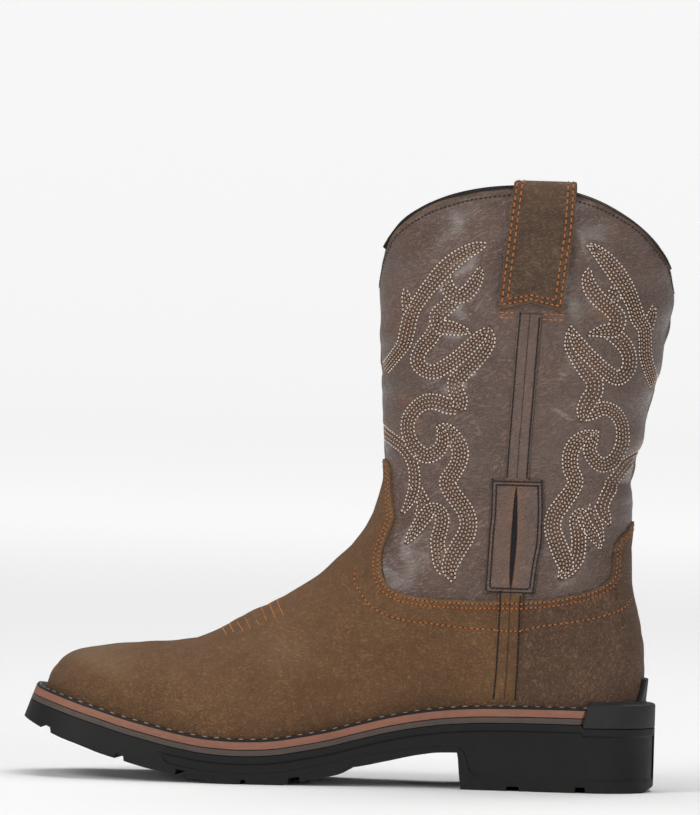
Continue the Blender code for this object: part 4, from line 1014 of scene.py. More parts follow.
def lift_at(x, z, side, rows=SHAFT_CREASES, size=SHAFT_RIPPLE):
    """How far creases and unevenness move the surface at one side's places."""
    x, z = np.asarray(x, dtype=float), np.asarray(z, dtype=float)
    sides = np.full(x.shape, side)
    return (crease_height(rows, x, z, sides) + ripple(x, z, sides, size)) * sizes().crease


def ribbon_points(scroll, spacing):
    """Middle lines of the ribbons, evenly spaced: x, z and half width in millimetres, per ribbon."""
    lines = []
    for rows in scroll:
        table = np.array(rows, dtype=float)
        x, z = seen_at(table[:, 0], table[:, 1])
        far = path_length(x, z)
        at = np.linspace(0.0, far[-1], max(4, int(far[-1] / spacing)))
        half = np.interp(at, far, table[:, 2]) * PICTURE_MM
        lines.append(np.column_stack([spline(far, x, at), spline(far, z, at), half]))
    return lines


def spline(places, values, at):
    """A curve through all values, rounded at each of them."""
    slopes = np.gradient(values, places)
    row = np.clip(np.searchsorted(places, at, side="right") - 1, 0, len(places) - 2)
    step = places[row + 1] - places[row]
    t = (at - places[row]) / step
    a, b, c = 2 * t ** 3 - 3 * t ** 2 + 1, t ** 3 - 2 * t ** 2 + t, t ** 3 - t ** 2
    return a * values[row] + b * step * slopes[row] + (1 - a) * values[row + 1] + c * step * slopes[row + 1]


def sewn_down(x, z):
    """Share by which the scroll's rows pull the leather down, at places seen from the side."""
    pressed = np.zeros(x.size)
    places = np.column_stack([x.reshape(-1), z.reshape(-1)])
    for scroll in (FRONT_SCROLL, BACK_SCROLL):
        for line in ribbon_points(scroll, 2.0):
            low = line[:, :2].min(axis=0) - 6.0
            high = line[:, :2].max(axis=0) + 6.0
            near = np.where(np.all((places > low) & (places < high), axis=1))[0]
            gap = places[near][:, None, :] - line[None, :, :2]
            away = np.sqrt((gap ** 2).sum(axis=2)) - line[None, :, 2]
            share = 1 - smoothstep(-0.6, 1.2, away.min(axis=1))
            pressed[near] = np.maximum(pressed[near], share)
    return pressed.reshape(x.shape)


def make_shaft_piece():
    around, rows = 330, 196
    turns = np.linspace(0.0, 2 * math.pi, around, endpoint=False)
    first = float(np.interp(80.0, FRONT_Z, LENGTHS))
    lengths = np.concatenate([np.linspace(first, FRONT_LENGTH - 4.0, rows),
                              FRONT_LENGTH - np.array([3.0, 2.0, 1.2, 0.75, 0.65, 0.5, 0.35, 0.15])])
    turn, length = np.meshgrid(turns, lengths)
    base = ring_point(turn, length)
    x, z = base[..., 0], base[..., 2]
    side = side_of(base)
    pressed = sewn_down(x, z)
    offset = COLLAR_OUT * smoothstep(0.74, 0.62, FRONT_LENGTH - length) - ROWS_SINK * pressed
    outer = shaft_surface(turn, length, offset)
    rolled = []
    for angle in np.linspace(0.3, math.pi, 6):
        radius = 0.5
        reach = COLLAR_OUT - radius + radius * math.cos(angle)
        rolled.append(shaft_surface(turns, np.full(around, FRONT_LENGTH + radius * math.sin(angle)), reach))
    for down in (1.0, 3.5):
        rolled.append(shaft_surface(turns, np.full(around, FRONT_LENGTH - down), COLLAR_OUT - 1.0))
    grid = np.concatenate([outer, np.array(rolled)])
    levels = len(grid)
    faces = grid_faces(levels, around, closed_round=True)
    kinds = np.zeros((levels - 1, around), dtype=int)
    kinds[len(lengths) - 5:, :] = 1
    pad = ((0, len(rolled)), (0, 0))
    overlay = np.interp(x, [row[0] for row in OVERLAY_EDGE], [row[1] for row in OVERLAY_EDGE])
    # Painted shade on the shaft along the overlays' edge and under it
    tuck_shade = np.clip(1 - (z - overlay) / 5.0, 0.0, 1.0) * 0.5
    wear_and_highlight = np.maximum(rub_mask(x, z, side), 0.42 * pressed)
    finishes = [shaft_leather("shaft_leather", colours()), cut_edge("collar_edge", colours().edge)]
    shaft = make_mesh("shaft_leather_wall", grid, faces, finishes, kinds.reshape(-1),
                      {"wear_and_highlight": np.pad(wear_and_highlight, pad), "tuck_shade": np.pad(tuck_shade, pad)})
    dress(shaft, "shaft_leather", "upper")


def make_lining_piece():
    around = 160
    turns = np.linspace(0.0, 2 * math.pi, around, endpoint=False)
    rows = []
    for angle in np.linspace(0.0, math.pi, 7):
        reach = -LINING_DEPTH + LINING_EDGE * math.cos(angle)
        above = -0.1 + 1.15 * smoothstep(0.0, 0.95, np.abs(np.sin(turns)))
        rows.append(shaft_surface(turns, FRONT_LENGTH + above + LINING_EDGE * 1.6 * math.sin(angle), reach))
    lengths = np.concatenate([FRONT_LENGTH - np.array([1.0, 2.5, 5.0]), np.linspace(FRONT_LENGTH - 8.0, 30.0, 84),
                              np.array([24.0, 18.0, 13.0, 8.0, 3.5, 0.0])])
    for length in lengths:
        share = float(smoothstep(160.0, 190.0, length))
        rows.append(shaft_surface(turns, np.full(around, length), -LINING_DEPTH - LINING_EDGE, share > 0.5))
    grid = np.array(rows)
    grid[-1, :, 2] = seat_height(grid[-1, :, 0]) + GAP
    faces = grid_faces(len(grid), around, closed_round=True)
    lining = make_mesh("lining", grid, faces, [lining_cloth("lining_cloth", colours())])
    dress(lining, "insole", "upper")


def overlay_curve():
    """Upper edge of vamp and counter as a closely spaced smooth line seen from the side."""
    x, z = np.array(OVERLAY_EDGE).T
    far = path_length(x, z)
    fine = np.linspace(0.0, far[-1], 500)
    return spline(far, x, fine), spline(far, z, fine)


def below_edge(x, z, edge_x, edge_z):
    """Whether places seen from the side lie below the overlays' edge."""
    outline_x = np.concatenate([[-400.0, -400.0], edge_x, [400.0, 400.0]])
    outline_z = np.concatenate([[-200.0, edge_z[0]], edge_z, [edge_z[-1], -200.0]])
    inside = np.zeros(x.shape, dtype=bool)
    for number in range(len(outline_x)):
        x0, z0 = outline_x[number - 1], outline_z[number - 1]
        x1, z1 = outline_x[number], outline_z[number]
        crosses = (z0 > z) != (z1 > z)
        if z0 != z1:
            inside ^= crosses & (x < (x1 - x0) * (z - z0) / (z1 - z0) + x0)
    return inside


def halve(count, low, high, steps, holds):
    """The border, for each of several places, up to which something holds."""
    low, high = np.full(count, low), np.full(count, high)
    for _ in range(steps):
        middle = (low + high) / 2
        held = holds(middle)
        low, high = np.where(held, middle, low), np.where(held, high, middle)
    return low


def edge_lengths(turns):
    """How far up the front each turn's line meets the overlays' edge."""
    edge = overlay_curve()

    def below(lengths):
        at = ring_point(turns, lengths)
        return below_edge(at[..., 0], at[..., 2], *edge)
    return halve(len(turns), *np.interp((70.0, 175.0), FRONT_Z, LENGTHS), 22, below)


def seam_turns(lengths):
    """The turn at which each ring crosses the side seam."""
    def ahead(turns):
        at = ring_point(turns, lengths)
        return at[..., 0] < column(SEAM, at[..., 2], 1)
    return halve(len(lengths), 1.0, 2.9, 30, ahead)


EDGE_TURNS = np.linspace(0.0, math.pi, 420)
EDGE_LENGTHS = edge_lengths(EDGE_TURNS)
SEAM_LENGTHS = np.linspace(0.0, FRONT_LENGTH, 160)
SEAM_TURNS = seam_turns(SEAM_LENGTHS)


def seam_top():
    """Turn and length of the place where the side seam meets the overlays' edge."""
    at = float(np.interp(EDGE_LENGTHS[200], SEAM_LENGTHS, SEAM_TURNS))
    for _ in range(8):
        length = float(np.interp(at, EDGE_TURNS, EDGE_LENGTHS))
        at = float(np.interp(length, SEAM_LENGTHS, SEAM_TURNS))
    return at, length


SEAM_TOP_TURN, SEAM_TOP_LENGTH = seam_top()


def overlay_place(vamp, u, v):
    """Turn and length on an overlay: u goes from its middle to the seam, v from the sole to its edge."""
    seam = np.interp(v * SEAM_TOP_LENGTH, SEAM_LENGTHS, SEAM_TURNS)
    if vamp:
        turn = u * seam
        top = np.interp(np.abs(u) * SEAM_TOP_TURN, EDGE_TURNS, EDGE_LENGTHS)
    else:
        turn = math.pi - u * (math.pi - seam)
        top = np.interp(math.pi - np.abs(u) * (math.pi - SEAM_TOP_TURN), EDGE_TURNS, EDGE_LENGTHS)
    return turn, v * top


def foot_surface(turn, length, offset):
    """A place on vamp or counter, with creases, at a height over the upper."""
    base = ring_point(turn, length)
    normal = ring_normal(turn, length)
    side = side_of(base)
    height = lift_at(base[..., 0], base[..., 2], side, FOOT_CREASES, FOOT_RIPPLE)
    return base + normal * (np.asarray(offset) + height * smoothstep(0.0, 12.0, length))[..., None]


def nearest(places, others):
    """Distance from each place to the nearest of the others, worked out in parts."""
    least = np.empty(len(places))
    for start in range(0, len(places), 500):
        gap = places[start:start + 500, None, :] - others[None, :, :]
        least[start:start + 500] = np.sqrt((gap ** 2).sum(axis=2)).min(axis=1)
    return least


def make_overlay_piece(name, vamp, finish, across):
    tall = sizes().overlay / MM
    u = np.linspace(-1.0, 1.0, across)
    near_edge = np.array([0.012, 0.009, 0.006, 0.0035, 0.0018, 0.0007, 0.0])
    rows = np.concatenate([np.linspace(0.0, 1.0, 132)[:-1] * 0.985, 1 - near_edge])
    grid_u, grid_v = np.meshgrid(u, rows)
    turn, length = overlay_place(vamp, grid_u, grid_v)
    top_turn, top_length = overlay_place(vamp, u, np.ones_like(u))
    edge = ring_point(top_turn, top_length)
    base = ring_point(turn, length)
    away = nearest(base.reshape(-1, 3), edge[::2]).reshape(turn.shape)
    away[-1, :] = 0.0
    height = (tall - 0.45 * (1 - smoothstep(2.0, 22.0, away))) * edge_profile(away, 1.1) - 0.1
    points = foot_surface(turn, length, height + 0.25 * (1 - smoothstep(0.0, 6.0, length)))
    x, z = base[..., 0], base[..., 2]
    side = side_of(base)
    waist = smoothstep(-48.0, -5.0, x) * (1 - smoothstep(45.0, 90.0, x))
    above = z - seat_height(x)
    # Painted shade low down by the welt, deepest at the waist
    tuck_shade = np.clip(1 - above / 16.0, 0.0, 1.0) * (0.25 + 0.75 * waist)
    pulled = hill(x, -118.0, 20.0) * smoothstep(12.0, 24.0, above) * 0.9
    pulled = np.maximum(pulled, 0.55 * hill(x, -30.0, 22.0) * hill(z, 62.0, 14.0))
    pulled = np.maximum(pulled, 0.6 * hill(away, 1.0, 1.2))
    pulled = np.maximum(pulled, rub_mask(x, z, side) * 0.5)
    faces = grid_faces(len(rows), across, flip=not vamp)
    panel = make_mesh(name + "_leather_panel", points, faces, [finish], None, {"tuck_shade": tuck_shade, "pulled": pulled})
    dress(panel, "foot_leather", name)


def overlay_inset(vamp_turns, inset):
    """Places inside the overlays' edge, at a distance from it along the leather."""
    length = np.interp(np.abs(vamp_turns), EDGE_TURNS, EDGE_LENGTHS)
    at = ring_point(vamp_turns, length)
    step = 0.004
    next_at = ring_point(vamp_turns + step, np.interp(np.abs(vamp_turns + step), EDGE_TURNS, EDGE_LENGTHS))
    inward = unit(np.cross(next_at - at, ring_normal(vamp_turns, length)))
    by_turn = (ring_point(vamp_turns + 0.003, length) - at) / 0.003
    by_length = (ring_point(vamp_turns, length + 0.4) - at) / 0.4
    down = np.sign((inward * by_length).sum(axis=-1))
    inward = -inward * down[..., None]
    aa = (by_turn ** 2).sum(axis=-1)
    bb = (by_length ** 2).sum(axis=-1)
    ab = (by_turn * by_length).sum(axis=-1)
    ra = (inward * by_turn).sum(axis=-1) * inset
    rb = (inward * by_length).sum(axis=-1) * inset
    det = aa * bb - ab * ab
    return vamp_turns + (ra * bb - rb * ab) / det, length + (rb * aa - ra * ab) / det


def overlay_height(away):
    """Height of vamp and counter over the upper, at a distance inside their edge."""
    return sizes().overlay / MM - 0.45 * (1 - smoothstep(2.0, 22.0, away)) - 0.1


def stitch_form():
    """One stitch along x: a bowed thread, thin where it enters the leather."""
    angles = 2 * math.pi * np.arange(5) / 5 + 0.3
    points = [(at, size * math.cos(angle) / 2, size * math.sin(angle) / 2 + lift * 0.5)
              for at, size, lift in ((-0.5, 0.45, -0.55), (-0.22, 1.0, 0.1), (0.22, 1.0, 0.1), (0.5, 0.45, -0.55))
              for angle in angles]
    ends = [[4, 3, 2, 1, 0], [15, 16, 17, 18, 19]]
    return np.array(points), grid_faces(4, 5, closed_round=True) + ends


def sew(name, runs, finishes, slot, holes=()):
    """Joins stitches into one piece; a run has middles, directions, normals, length, width and finish number."""
    form, form_faces = stitch_form()
    points, faces, kinds = [], [], []

    def join(made, pattern, kind):
        first = sum(len(part) for part in points)
        for start in range(first, first + made.shape[0] * made.shape[1], made.shape[1]):
            faces.extend([start + corner for corner in face] for face in pattern)
            kinds.extend([kind] * len(pattern))
        points.append(made.reshape(-1, 3))

    for middle, along, normal, length, width, kind in runs:
        along = unit(along)
        normal = unit(normal - along * (normal * along).sum(axis=1, keepdims=True))
        made = middle[:, None, :] + along[:, None, :] * (form[None, :, 0:1] * length)
        made = made + np.cross(normal, along)[:, None, :] * (form[None, :, 1:2] * width)
        join(made + normal[:, None, :] * (form[None, :, 2:3] * width), form_faces, kind)
    for middle, along, normal, size, kind in holes:
        along = unit(along)
        across = np.cross(normal, along)
        join(np.stack([middle + (along * math.cos(turn) + across * math.sin(turn)) * size / 2
                       for turn in np.linspace(0.0, 2 * math.pi, 6, endpoint=False)], axis=1), [range(6)], kind)
    return dress(make_mesh(name, np.concatenate(points), faces, finishes, kinds, None, 75.0), slot)


def along_line(points, normals, pitch, start=0.5):
    """Middles, directions and normals at an even pitch along a line of places."""
    step = np.linalg.norm(np.diff(points, axis=0), axis=1)
    far = np.concatenate([[0.0], np.cumsum(step)])
    if far[-1] < pitch:
        return np.zeros((0, 3)), np.zeros((0, 3)), np.zeros((0, 3))
    at = np.arange(pitch * start, far[-1], pitch)

    def read(values, places):
        return np.stack([np.interp(places, far, values[:, axis]) for axis in range(3)], axis=1)

    along = read(points, np.minimum(at + pitch * 0.3, far[-1])) - read(points, np.maximum(at - pitch * 0.3, 0.0))
    along += np.array([1e-6, 0.0, 0.0])
    return read(points, at), along, read(normals, at)


def stitch_row(runs, holes, line, pitch, length, width, kind, hole=None, start=0.5):
    """Adds a row along a line of places and normals; a hole has its way on, lift, size and finish number."""
    middle, along, normal = along_line(*line, pitch, start)
    runs.append((middle, along, normal, length, width, kind))
    if hole:
        holes.append((middle + unit(along) * hole[0] + normal * hole[1], along, normal, *hole[2:]))


def off_seam(x, z):
    """Distance beside the side seam's strip, below 0 on it."""
    return np.abs(x - column(SEAM, z, 1)) - column(SEAM, z, 2)


def kept_parts(keep):
    """Neighbouring places that are kept, as groups of numbers."""
    cuts = np.where(np.diff(keep.astype(int)) != 0)[0] + 1
    return [part for part in np.split(np.arange(len(keep)), cuts) if keep[part[0]] and len(part) > 3]


def side_line(x, z, side, offset):
    """A line of places on one side, with its normals, lifted with the creases."""
    return skin(x, z, side, np.asarray(offset) + lift_at(x, z, side)), skin_normal(x, z, side)


def scroll_runs(side, pitch, row_gap, width):
    """The decorative stitching of one side: outer rows first, then the rows between them."""
    kept = np.zeros((0, 3))
    outer_runs, inner_runs, holes = [], [], []
    for line in ribbon_points(FRONT_SCROLL, 0.5) + ribbon_points(BACK_SCROLL, 0.5):
        tangent = unit(np.gradient(line[:, :2], axis=0))
        rows = max(3, int(round(2 * line[:, 2].max() / row_gap)) + 1)
        shares = sorted(np.linspace(-1.0, 1.0, rows), key=lambda share: -abs(share))
        for order, share in enumerate(shares):
            x = line[:, 0] - tangent[:, 1] * line[:, 2] * share * SCROLL_SPREAD
            z = line[:, 1] + tangent[:, 0] * line[:, 2] * share * SCROLL_SPREAD
            inside = (x > np.interp(z, FRONT_Z, FRONT_X) + 0.4) & (x < column(BACK, z) - 0.4)
            inside &= off_seam(x, z) > 1.0
            if inside.sum() < 6:
                continue
            row = along_line(*side_line(x[inside], z[inside], side, -0.02), pitch, 0.25 + 0.5 * (order % 2))
            if len(kept):
                stay = nearest(row[0], kept) > row_gap * 0.72
                row = [part[stay] for part in row]
            middle, along, normal = row
            kept = np.concatenate([kept, middle])
            if abs(share) > 0.99:
                outer_runs.append((*row, pitch * 0.68, width * 1.1, 0))
            else:
                inner_runs.append((*row, pitch * 0.68, width * 1.05, 1))
            holes.append((middle + unit(along) * pitch / 2 + normal * 0.07, along, normal, width, 2))
    return outer_runs + inner_runs, holes


def make_scroll_pieces():
    size = sizes()
    pitch, gap, width = size.scroll_pitch / MM, size.scroll_rows / MM, size.scroll_thread / MM
    finishes = [thread("pale_thread", colours().thread_pale), thread("tan_thread", colours().thread_tan),
                dark_hole("needle_holes")]
    for side, word in SIDES:
        runs, holes = scroll_runs(side, pitch, gap, width)
        sew("scroll_stitching_" + word, runs, finishes, "shaft_leather", holes)


def third_row():
    """The third orange row, seen from the side."""
    return seen_at(*np.array(THIRD_ROW, dtype=float).T)


def make_foot_stitching():
    size = sizes()
    pitch, width = size.seam_pitch / MM * 0.82, size.seam_thread / MM * 0.88
    orange = colours().thread_orange
    finishes = [thread("orange_thread", orange), thread("toe_thread", tint(orange, 1.5, 1.6, 1.0)),
                dark_hole("needle_holes_foot")]
    runs, holes = [], []
    turns = np.concatenate([-EDGE_TURNS[1:-1][::-1], EDGE_TURNS[1:-1]])
    for inset in (1.7, 4.0):
        turn, length = overlay_inset(turns, inset)
        points = foot_surface(turn, length, overlay_height(np.full(len(turns), inset)) - 0.02)
        normals = ring_normal(turn, length)
        for part in kept_parts(off_seam(points[:, 0], points[:, 2]) > -1.6):
            stitch_row(runs, holes, (points[part], normals[part]), pitch, pitch * 0.72, width, 0,
                       (pitch / 2, 0.08, width * 0.8, 2))
    x, z = third_row()
    far = path_length(x, z)
    at = np.linspace(0.0, far[-1], 240)
    line_x, line_z = spline(far, x, at), spline(far, z, at)
    for side, _ in SIDES:
        keep = (off_seam(line_x, line_z) > -1.2) & (line_x < column(BACK, line_z) - 0.2)
        height = overlay_height(np.full(len(at), 14.0)) + lift_at(line_x, line_z, side, FOOT_CREASES, FOOT_RIPPLE)
        points, normals = skin(line_x, line_z, side, height), skin_normal(line_x, line_z, side)
        for part in kept_parts(keep):
            stitch_row(runs, holes, (points[part], normals[part]), pitch * 1.25, pitch * 0.86, width, 0,
                       (pitch * 0.62, 0.08, width * 0.95, 2))
        for x0, y0, x1, y1 in TOE_MARKS:
            mark_x, mark_z = seen_at(np.linspace(x0, x1, 12), np.linspace(y0, y1, 12))
            height = overlay_height(np.full(12, 30.0)) + ripple(mark_x, mark_z, np.full(12, side), FOOT_RIPPLE)
            line = skin(mark_x, mark_z, side, height), skin_normal(mark_x, mark_z, side)
            stitch_row(runs, holes, line, 1.9, 1.7, 0.46, 1)
    sew("foot_stitching", runs, finishes, "foot_leather", holes)


def crowned_sheet(name, side, heights, edges, base, tall, radius, finish, opening=None):
    """A thin sewn-on sheet between two heights and two edge lines, with a rounded border."""
    zs = with_borders(heights[0], heights[1], int((heights[1] - heights[0]) / 0.8), radius)
    share = with_borders(0.0, 1.0, 26, radius / 12.0)
    if opening is not None:
        share = np.concatenate([share[share < 0.5], [0.5, 0.5], share[share > 0.5]])
    slit = int(np.argmax(share >= 0.5))
    grid_s, grid_z = np.meshgrid(share, zs)
    front, back = edges(grid_z)
    x = front + (back - front) * grid_s
    if opening is not None:
        middle, half = opening(grid_z)
        ahead = np.arange(len(share))[None, :] <= slit
        x = np.where(ahead, front + (middle - half - front) * grid_s * 2,
                     middle + half + (back - middle - half) * (grid_s * 2 - 1))
    away = np.minimum(np.minimum(x - front, back - x), np.minimum(grid_z - heights[0], heights[1] - grid_z))
    height = tall * edge_profile(np.maximum(away, 0.0), radius)
    if opening is not None:
        off = np.abs(x - middle) - half
        lip = np.clip(half / 0.5, 0.0, 1.0)
        height = height * (1 - lip * (1 - edge_profile(np.maximum(off, 0.0), 0.7) * 0.75 - 0.25))
    points = skin(x, grid_z, side, height + base + lift_at(x, grid_z, side))
    faces = grid_faces(len(zs), len(share), flip=side == 2)
    wear_and_highlight = rub_mask(x, grid_z, np.full(x.shape, side))
    if opening is not None:
        faces = [face for number, face in enumerate(faces) if number % (len(share) - 1) != slit]
        wear_and_highlight = np.maximum(wear_and_highlight, 0.8 * hill(x, middle, 5.0))
    # Painted shade: darker towards each sheet's lower border
    low = np.clip(1 - (grid_z - heights[0]) / 5.0, 0.0, 1.0) * 0.3
    return make_mesh(name, points, faces, [finish], None, {"wear_and_highlight": wear_and_highlight, "tuck_shade": low, "pulled": wear_and_highlight * 0.4})


def seam_edges(z):
    middle = column(SEAM, z, 1)
    half = column(SEAM, z, 2)
    return middle - half, middle + half


def patch_edges(z):
    return column(PATCH, z, 1) - 0.9, column(PATCH, z, 2) + 1.4


def slit_shape(z):
    inside = (z > SLIT[0][0]) & (z < SLIT[-1][0])
    return column(SLIT, z, 1), np.where(inside, column(SLIT, z, 2), 0.0)


def make_side_sheets():
    tall = sizes().strip / MM
    leather = shaft_leather("strip_leather", colours(), 0.3)
    foot = foot_leather("foot_strip_leather", colours().vamp, colours())
    patch = shaft_leather("patch_leather", colours(), 0.35)
    for side, word in SIDES:
        strip = crowned_sheet("side_seam_strip_" + word, side, (149.4, 230.2), seam_edges, -0.1, tall, 0.7, leather)
        dress(strip, "shaft_leather", "shaft_strip_" + word)
        low = crowned_sheet("foot_seam_strip_" + word, side, (42.0, 95.3), seam_edges, 1.45, 0.62, 0.9, foot)
        dress(low, "foot_leather", "foot_strip_" + word)
        made = crowned_sheet("slit_patch_" + word, side, PATCH_HEIGHTS, patch_edges, -0.1, tall + 0.25, 0.8, patch,
                             slit_shape)
        dress(made, "shaft_leather", "patch_" + word)
        zs = np.linspace(94.0, 150.0, 50)
        xs = np.linspace(-4.5, 4.5, 46)
        grid_x, grid_z = np.meshgrid(xs, zs)
        ribs = 0.1 * np.sin(grid_x * 5.5)
        centre = column(SLIT, grid_z, 1)
        points = skin(centre + grid_x, grid_z, side, 0.42 + ribs + lift_at(centre + grid_x, grid_z, side))
        faces = grid_faces(len(zs), len(xs), flip=side == 2)
        gore = make_mesh("elastic_" + word, points, faces, [lining_cloth("elastic_" + word, colours())])
        dress(gore, "gore", "gore_" + word)


def make_side_stitching():
    size = sizes()
    pitch, width, tall = size.seam_pitch / MM, size.seam_thread / MM * 1.2, size.strip / MM
    close = pitch * 0.85
    finishes = [thread("black_thread", colours().thread_black), thread("brown_thread", BROWN_THREAD),
                dark_hole("needle_holes_side"), thread("orange_side_thread", colours().thread_orange)]
    third_x, third_z = third_row()
    third = float(third_z[np.argmin(np.abs(third_x - 81.0))])
    for side, word in SIDES:
        runs, holes = [], []

        def row(x, z, height, step, wide, kind, share=0.76):
            stitch_row(runs, holes, side_line(x, z, side, height), step, step * share, wide, kind,
                       (step / 2, 0.06, wide * 0.9, 2))

        for z, inset, height, seam_height in ((np.linspace(150.6, 229.0, 160), 1.1, tall - 0.1, tall - 0.1),
                                              (np.linspace(43.5, 94.8, 110), 1.0, 2.12, 2.1)):
            middle_x, half = column(SEAM, z, 1), column(SEAM, z, 2)
            for shift in (-1.0, 1.0):
                row(middle_x + shift * (half - inset), z, height, close, width, 0)
            row(middle_x, z, seam_height, 1.45, 0.62, 1, 0.5)
        for level in (90.2, 87.9, third):
            front, back = seam_edges(level)
            row(np.linspace(front - 0.6, back + 0.6, 30), np.full(30, level), 2.22, pitch * 0.8, width * 0.75, 3)
        for inset in (0.95, 2.75):
            ends = PATCH_HEIGHTS[0] + inset, PATCH_HEIGHTS[1] - inset
            up = np.linspace(*ends, 100)
            front, back = patch_edges(up)
            row(front + inset, up, tall + 0.15, close, width, 0)
            row(back - inset, up, tall + 0.15, close, width, 0)
            for level in ends:
                front, back = patch_edges(level)
                row(np.linspace(front + inset, back - inset, 50), np.full(50, level), tall + 0.15, close, width, 0)
        sew("side_stitching_" + word, runs, finishes, "shaft_leather", holes)
    turns = np.linspace(0.0, 2 * math.pi, 900)
    points = shaft_surface(turns, np.full(900, FRONT_LENGTH - 1.7))
    line, runs = (points, ring_normal(turns, np.full(900, FRONT_LENGTH - 2.4))), []
    stitch_row(runs, [], line, 2.3, 1.95, 0.72, 0)
    sew("collar_stitching", runs, finishes, "shaft_leather")


def strap_path(side, far, share):
    """A strap's middle surface: far goes up the outside, over the collar and down inside."""
    far = np.asarray(far, dtype=float)
    thick = sizes().strap / MM
    outside = SIDE_GAP + thick / 2
    inside = -WALL - SIDE_GAP - thick / 2
    centre, radius = (outside + inside) / 2, (outside - inside) / 2
    low = STRAP_EDGES[0][0]
    rise = STRAP_TOP - low
    bend = math.pi * radius
    angle = np.clip((far - rise) / radius, 0.0, math.pi)
    z = np.where(far < rise, low + far, STRAP_TOP + radius * np.sin(angle))
    z = np.where(far > rise + bend, STRAP_TOP - (far - rise - bend), z)
    offset = np.where(far < rise, outside, centre + radius * np.cos(angle))
    offset = np.where(far > rise + bend, inside, offset)
    front, back = column(STRAP_EDGES, z, 1), column(STRAP_EDGES, z, 2)
    x = front + (back - front) * share
    notch = STRAP_NOTCH * (1 - np.abs(2 * share - 1)) ** 1.3
    z = z + notch * np.clip(1 - far / 14.0, 0.0, 1.0)
    wave = 0.25 * np.sin(far * 0.13 + 1.0) * np.sin(share * 3.1)
    return skin(x, z, side, offset + wave * np.clip(far / 20.0, 0.0, 1.0) * (far < rise))


def strap_normal(side, far, share):
    along = strap_path(side, far + 0.4, share) - strap_path(side, np.maximum(far - 0.4, 0.0), share)
    across = strap_path(side, far, share + 0.02) - strap_path(side, far, share - 0.02)
    return unit(np.cross(across, along) if side == 1 else np.cross(along, across))


def strap_ends():
    """Where the strap reaches the collar and where it ends inside, along its length."""
    radius = (1.1 + 2 * SIDE_GAP + WALL + sizes().strap / MM) / 2
    rise = STRAP_TOP - STRAP_EDGES[0][0]
    return rise, rise + math.pi * radius + STRAP_TOP - STRAP_INSIDE


def make_strap_pieces():
    thick = sizes().strap / MM
    finish = strap_leather("pull_strap_leather", colours())
    rise, last = strap_ends()
    orange = colours().thread_orange
    threads = [thread("strap_thread", orange), dark_hole("strap_holes"),
               thread("strap_low_thread", tint(orange, 1.1, 1.2, 1.2))]
    for side, word in SIDES:
        far = with_borders(0.0, last, 150, thick / 2)
        share = with_borders(0.0, 1.0, 34, thick / 2 / STRAP_WIDE)
        grid_s, grid_f = np.meshgrid(share, far)
        centre, normal = strap_path(side, grid_f, grid_s), strap_normal(side, grid_f, grid_s)
        beside = np.minimum(grid_s, 1 - grid_s) * STRAP_WIDE
        away = np.minimum(beside, np.minimum(grid_f, last - grid_f))
        half = thick / 2 * edge_profile(away, thick / 2)
        top = centre + normal * (half - 0.12 * hill(beside, 3.6, 1.8))[..., None]
        under = centre - normal * half[..., None]
        faces = grid_faces(len(far), len(share), flip=side == 2)
        faces += grid_faces(len(far), len(share), start=half.size, flip=side == 1)
        wear_and_highlight = np.maximum(0.55 * hill(away, 0.6, 0.8), 0.25 * hill(grid_f, rise, 8.0))
        strap = make_mesh("pull_strap_" + word, np.stack([top, under]), faces, [finish], None,
                          {"wear_and_highlight": np.stack([wear_and_highlight, wear_and_highlight])})
        dress(strap, "strap_leather", "strap_" + word)
        runs, holes = [], []

        def row(line, across, sink, *rest):
            normals = strap_normal(side, line, across)
            points = strap_path(side, line, across) + normals * (thick / 2 - sink)
            stitch_row(runs, holes, (points, normals), *rest)

        for inset, begin, low in ((2.3, 3.0, 2.6), (4.7, 5.0, 5.2)):
            near = inset / STRAP_WIDE
            for across in (near, 1 - near):
                row(np.linspace(begin, last - 3.0, 300), np.full(300, across), 0.08, 3.3, 2.6, 0.78, 0,
                    (1.65, 0.1, 0.62, 1))
            row(np.full(60, low), np.linspace(near, 1 - near, 60), 0.05, 2.6, 2.0, 0.74, 0, (1.3, 0.08, 0.7, 1))
        for x0, y0, x1, y1 in STRAP_MARKS:
            x, z = seen_at(np.linspace(x0, x1, 20), np.linspace(y0, y1, 20))
            keep = off_seam(x, z) > 0.3
            if keep.sum() > 3:
                points, normals = side_line(x, z, side, 0.0)
                stitch_row(runs, holes, (points[keep], normals[keep]), 2.5, 2.0, 0.74, 2)
        sew("strap_stitching_" + word, runs, threads, "strap_leather", holes)


def round_corners(sections, radius, steps=3, closed=True):
    """Rounds each corner of many cross-sections that have the same corners."""
    count = sections.shape[1]
    rows = []
    for number in range(count):
        corner = sections[:, number]
        if not closed and number in (0, count - 1):
            rows.append(corner)
            continue
        before = sections[:, (number - 1) % count] - corner
        after = sections[:, (number + 1) % count] - corner
        long_before = np.linalg.norm(before, axis=1, keepdims=True)
        long_after = np.linalg.norm(after, axis=1, keepdims=True)
        reach = np.minimum(radius, 0.42 * np.minimum(long_before, long_after))
        start = corner + before / np.maximum(long_before, 1e-9) * reach
        end = corner + after / np.maximum(long_after, 1e-9) * reach
        for t in np.linspace(0.0, 1.0, steps + 1):
            rows.append((1 - t) ** 2 * start + 2 * t * (1 - t) * corner + t ** 2 * end)
    return np.stack(rows, axis=1)


def sole_edge(x, side, toe, inset=0.0):
    ends = rounded_ends(x - toe, SOLE_HEEL - inset - x, *SOLE_ENDS)
    return (column(SOLE_WIDTH, x, side) - inset) * ends


def lean(x, toe):
    share = np.clip((SOLE_HEEL - x) / (SOLE_HEEL - SOLE_TOE), 0.0, 1.0)
    return x + (toe - SOLE_TOE) * share ** 6


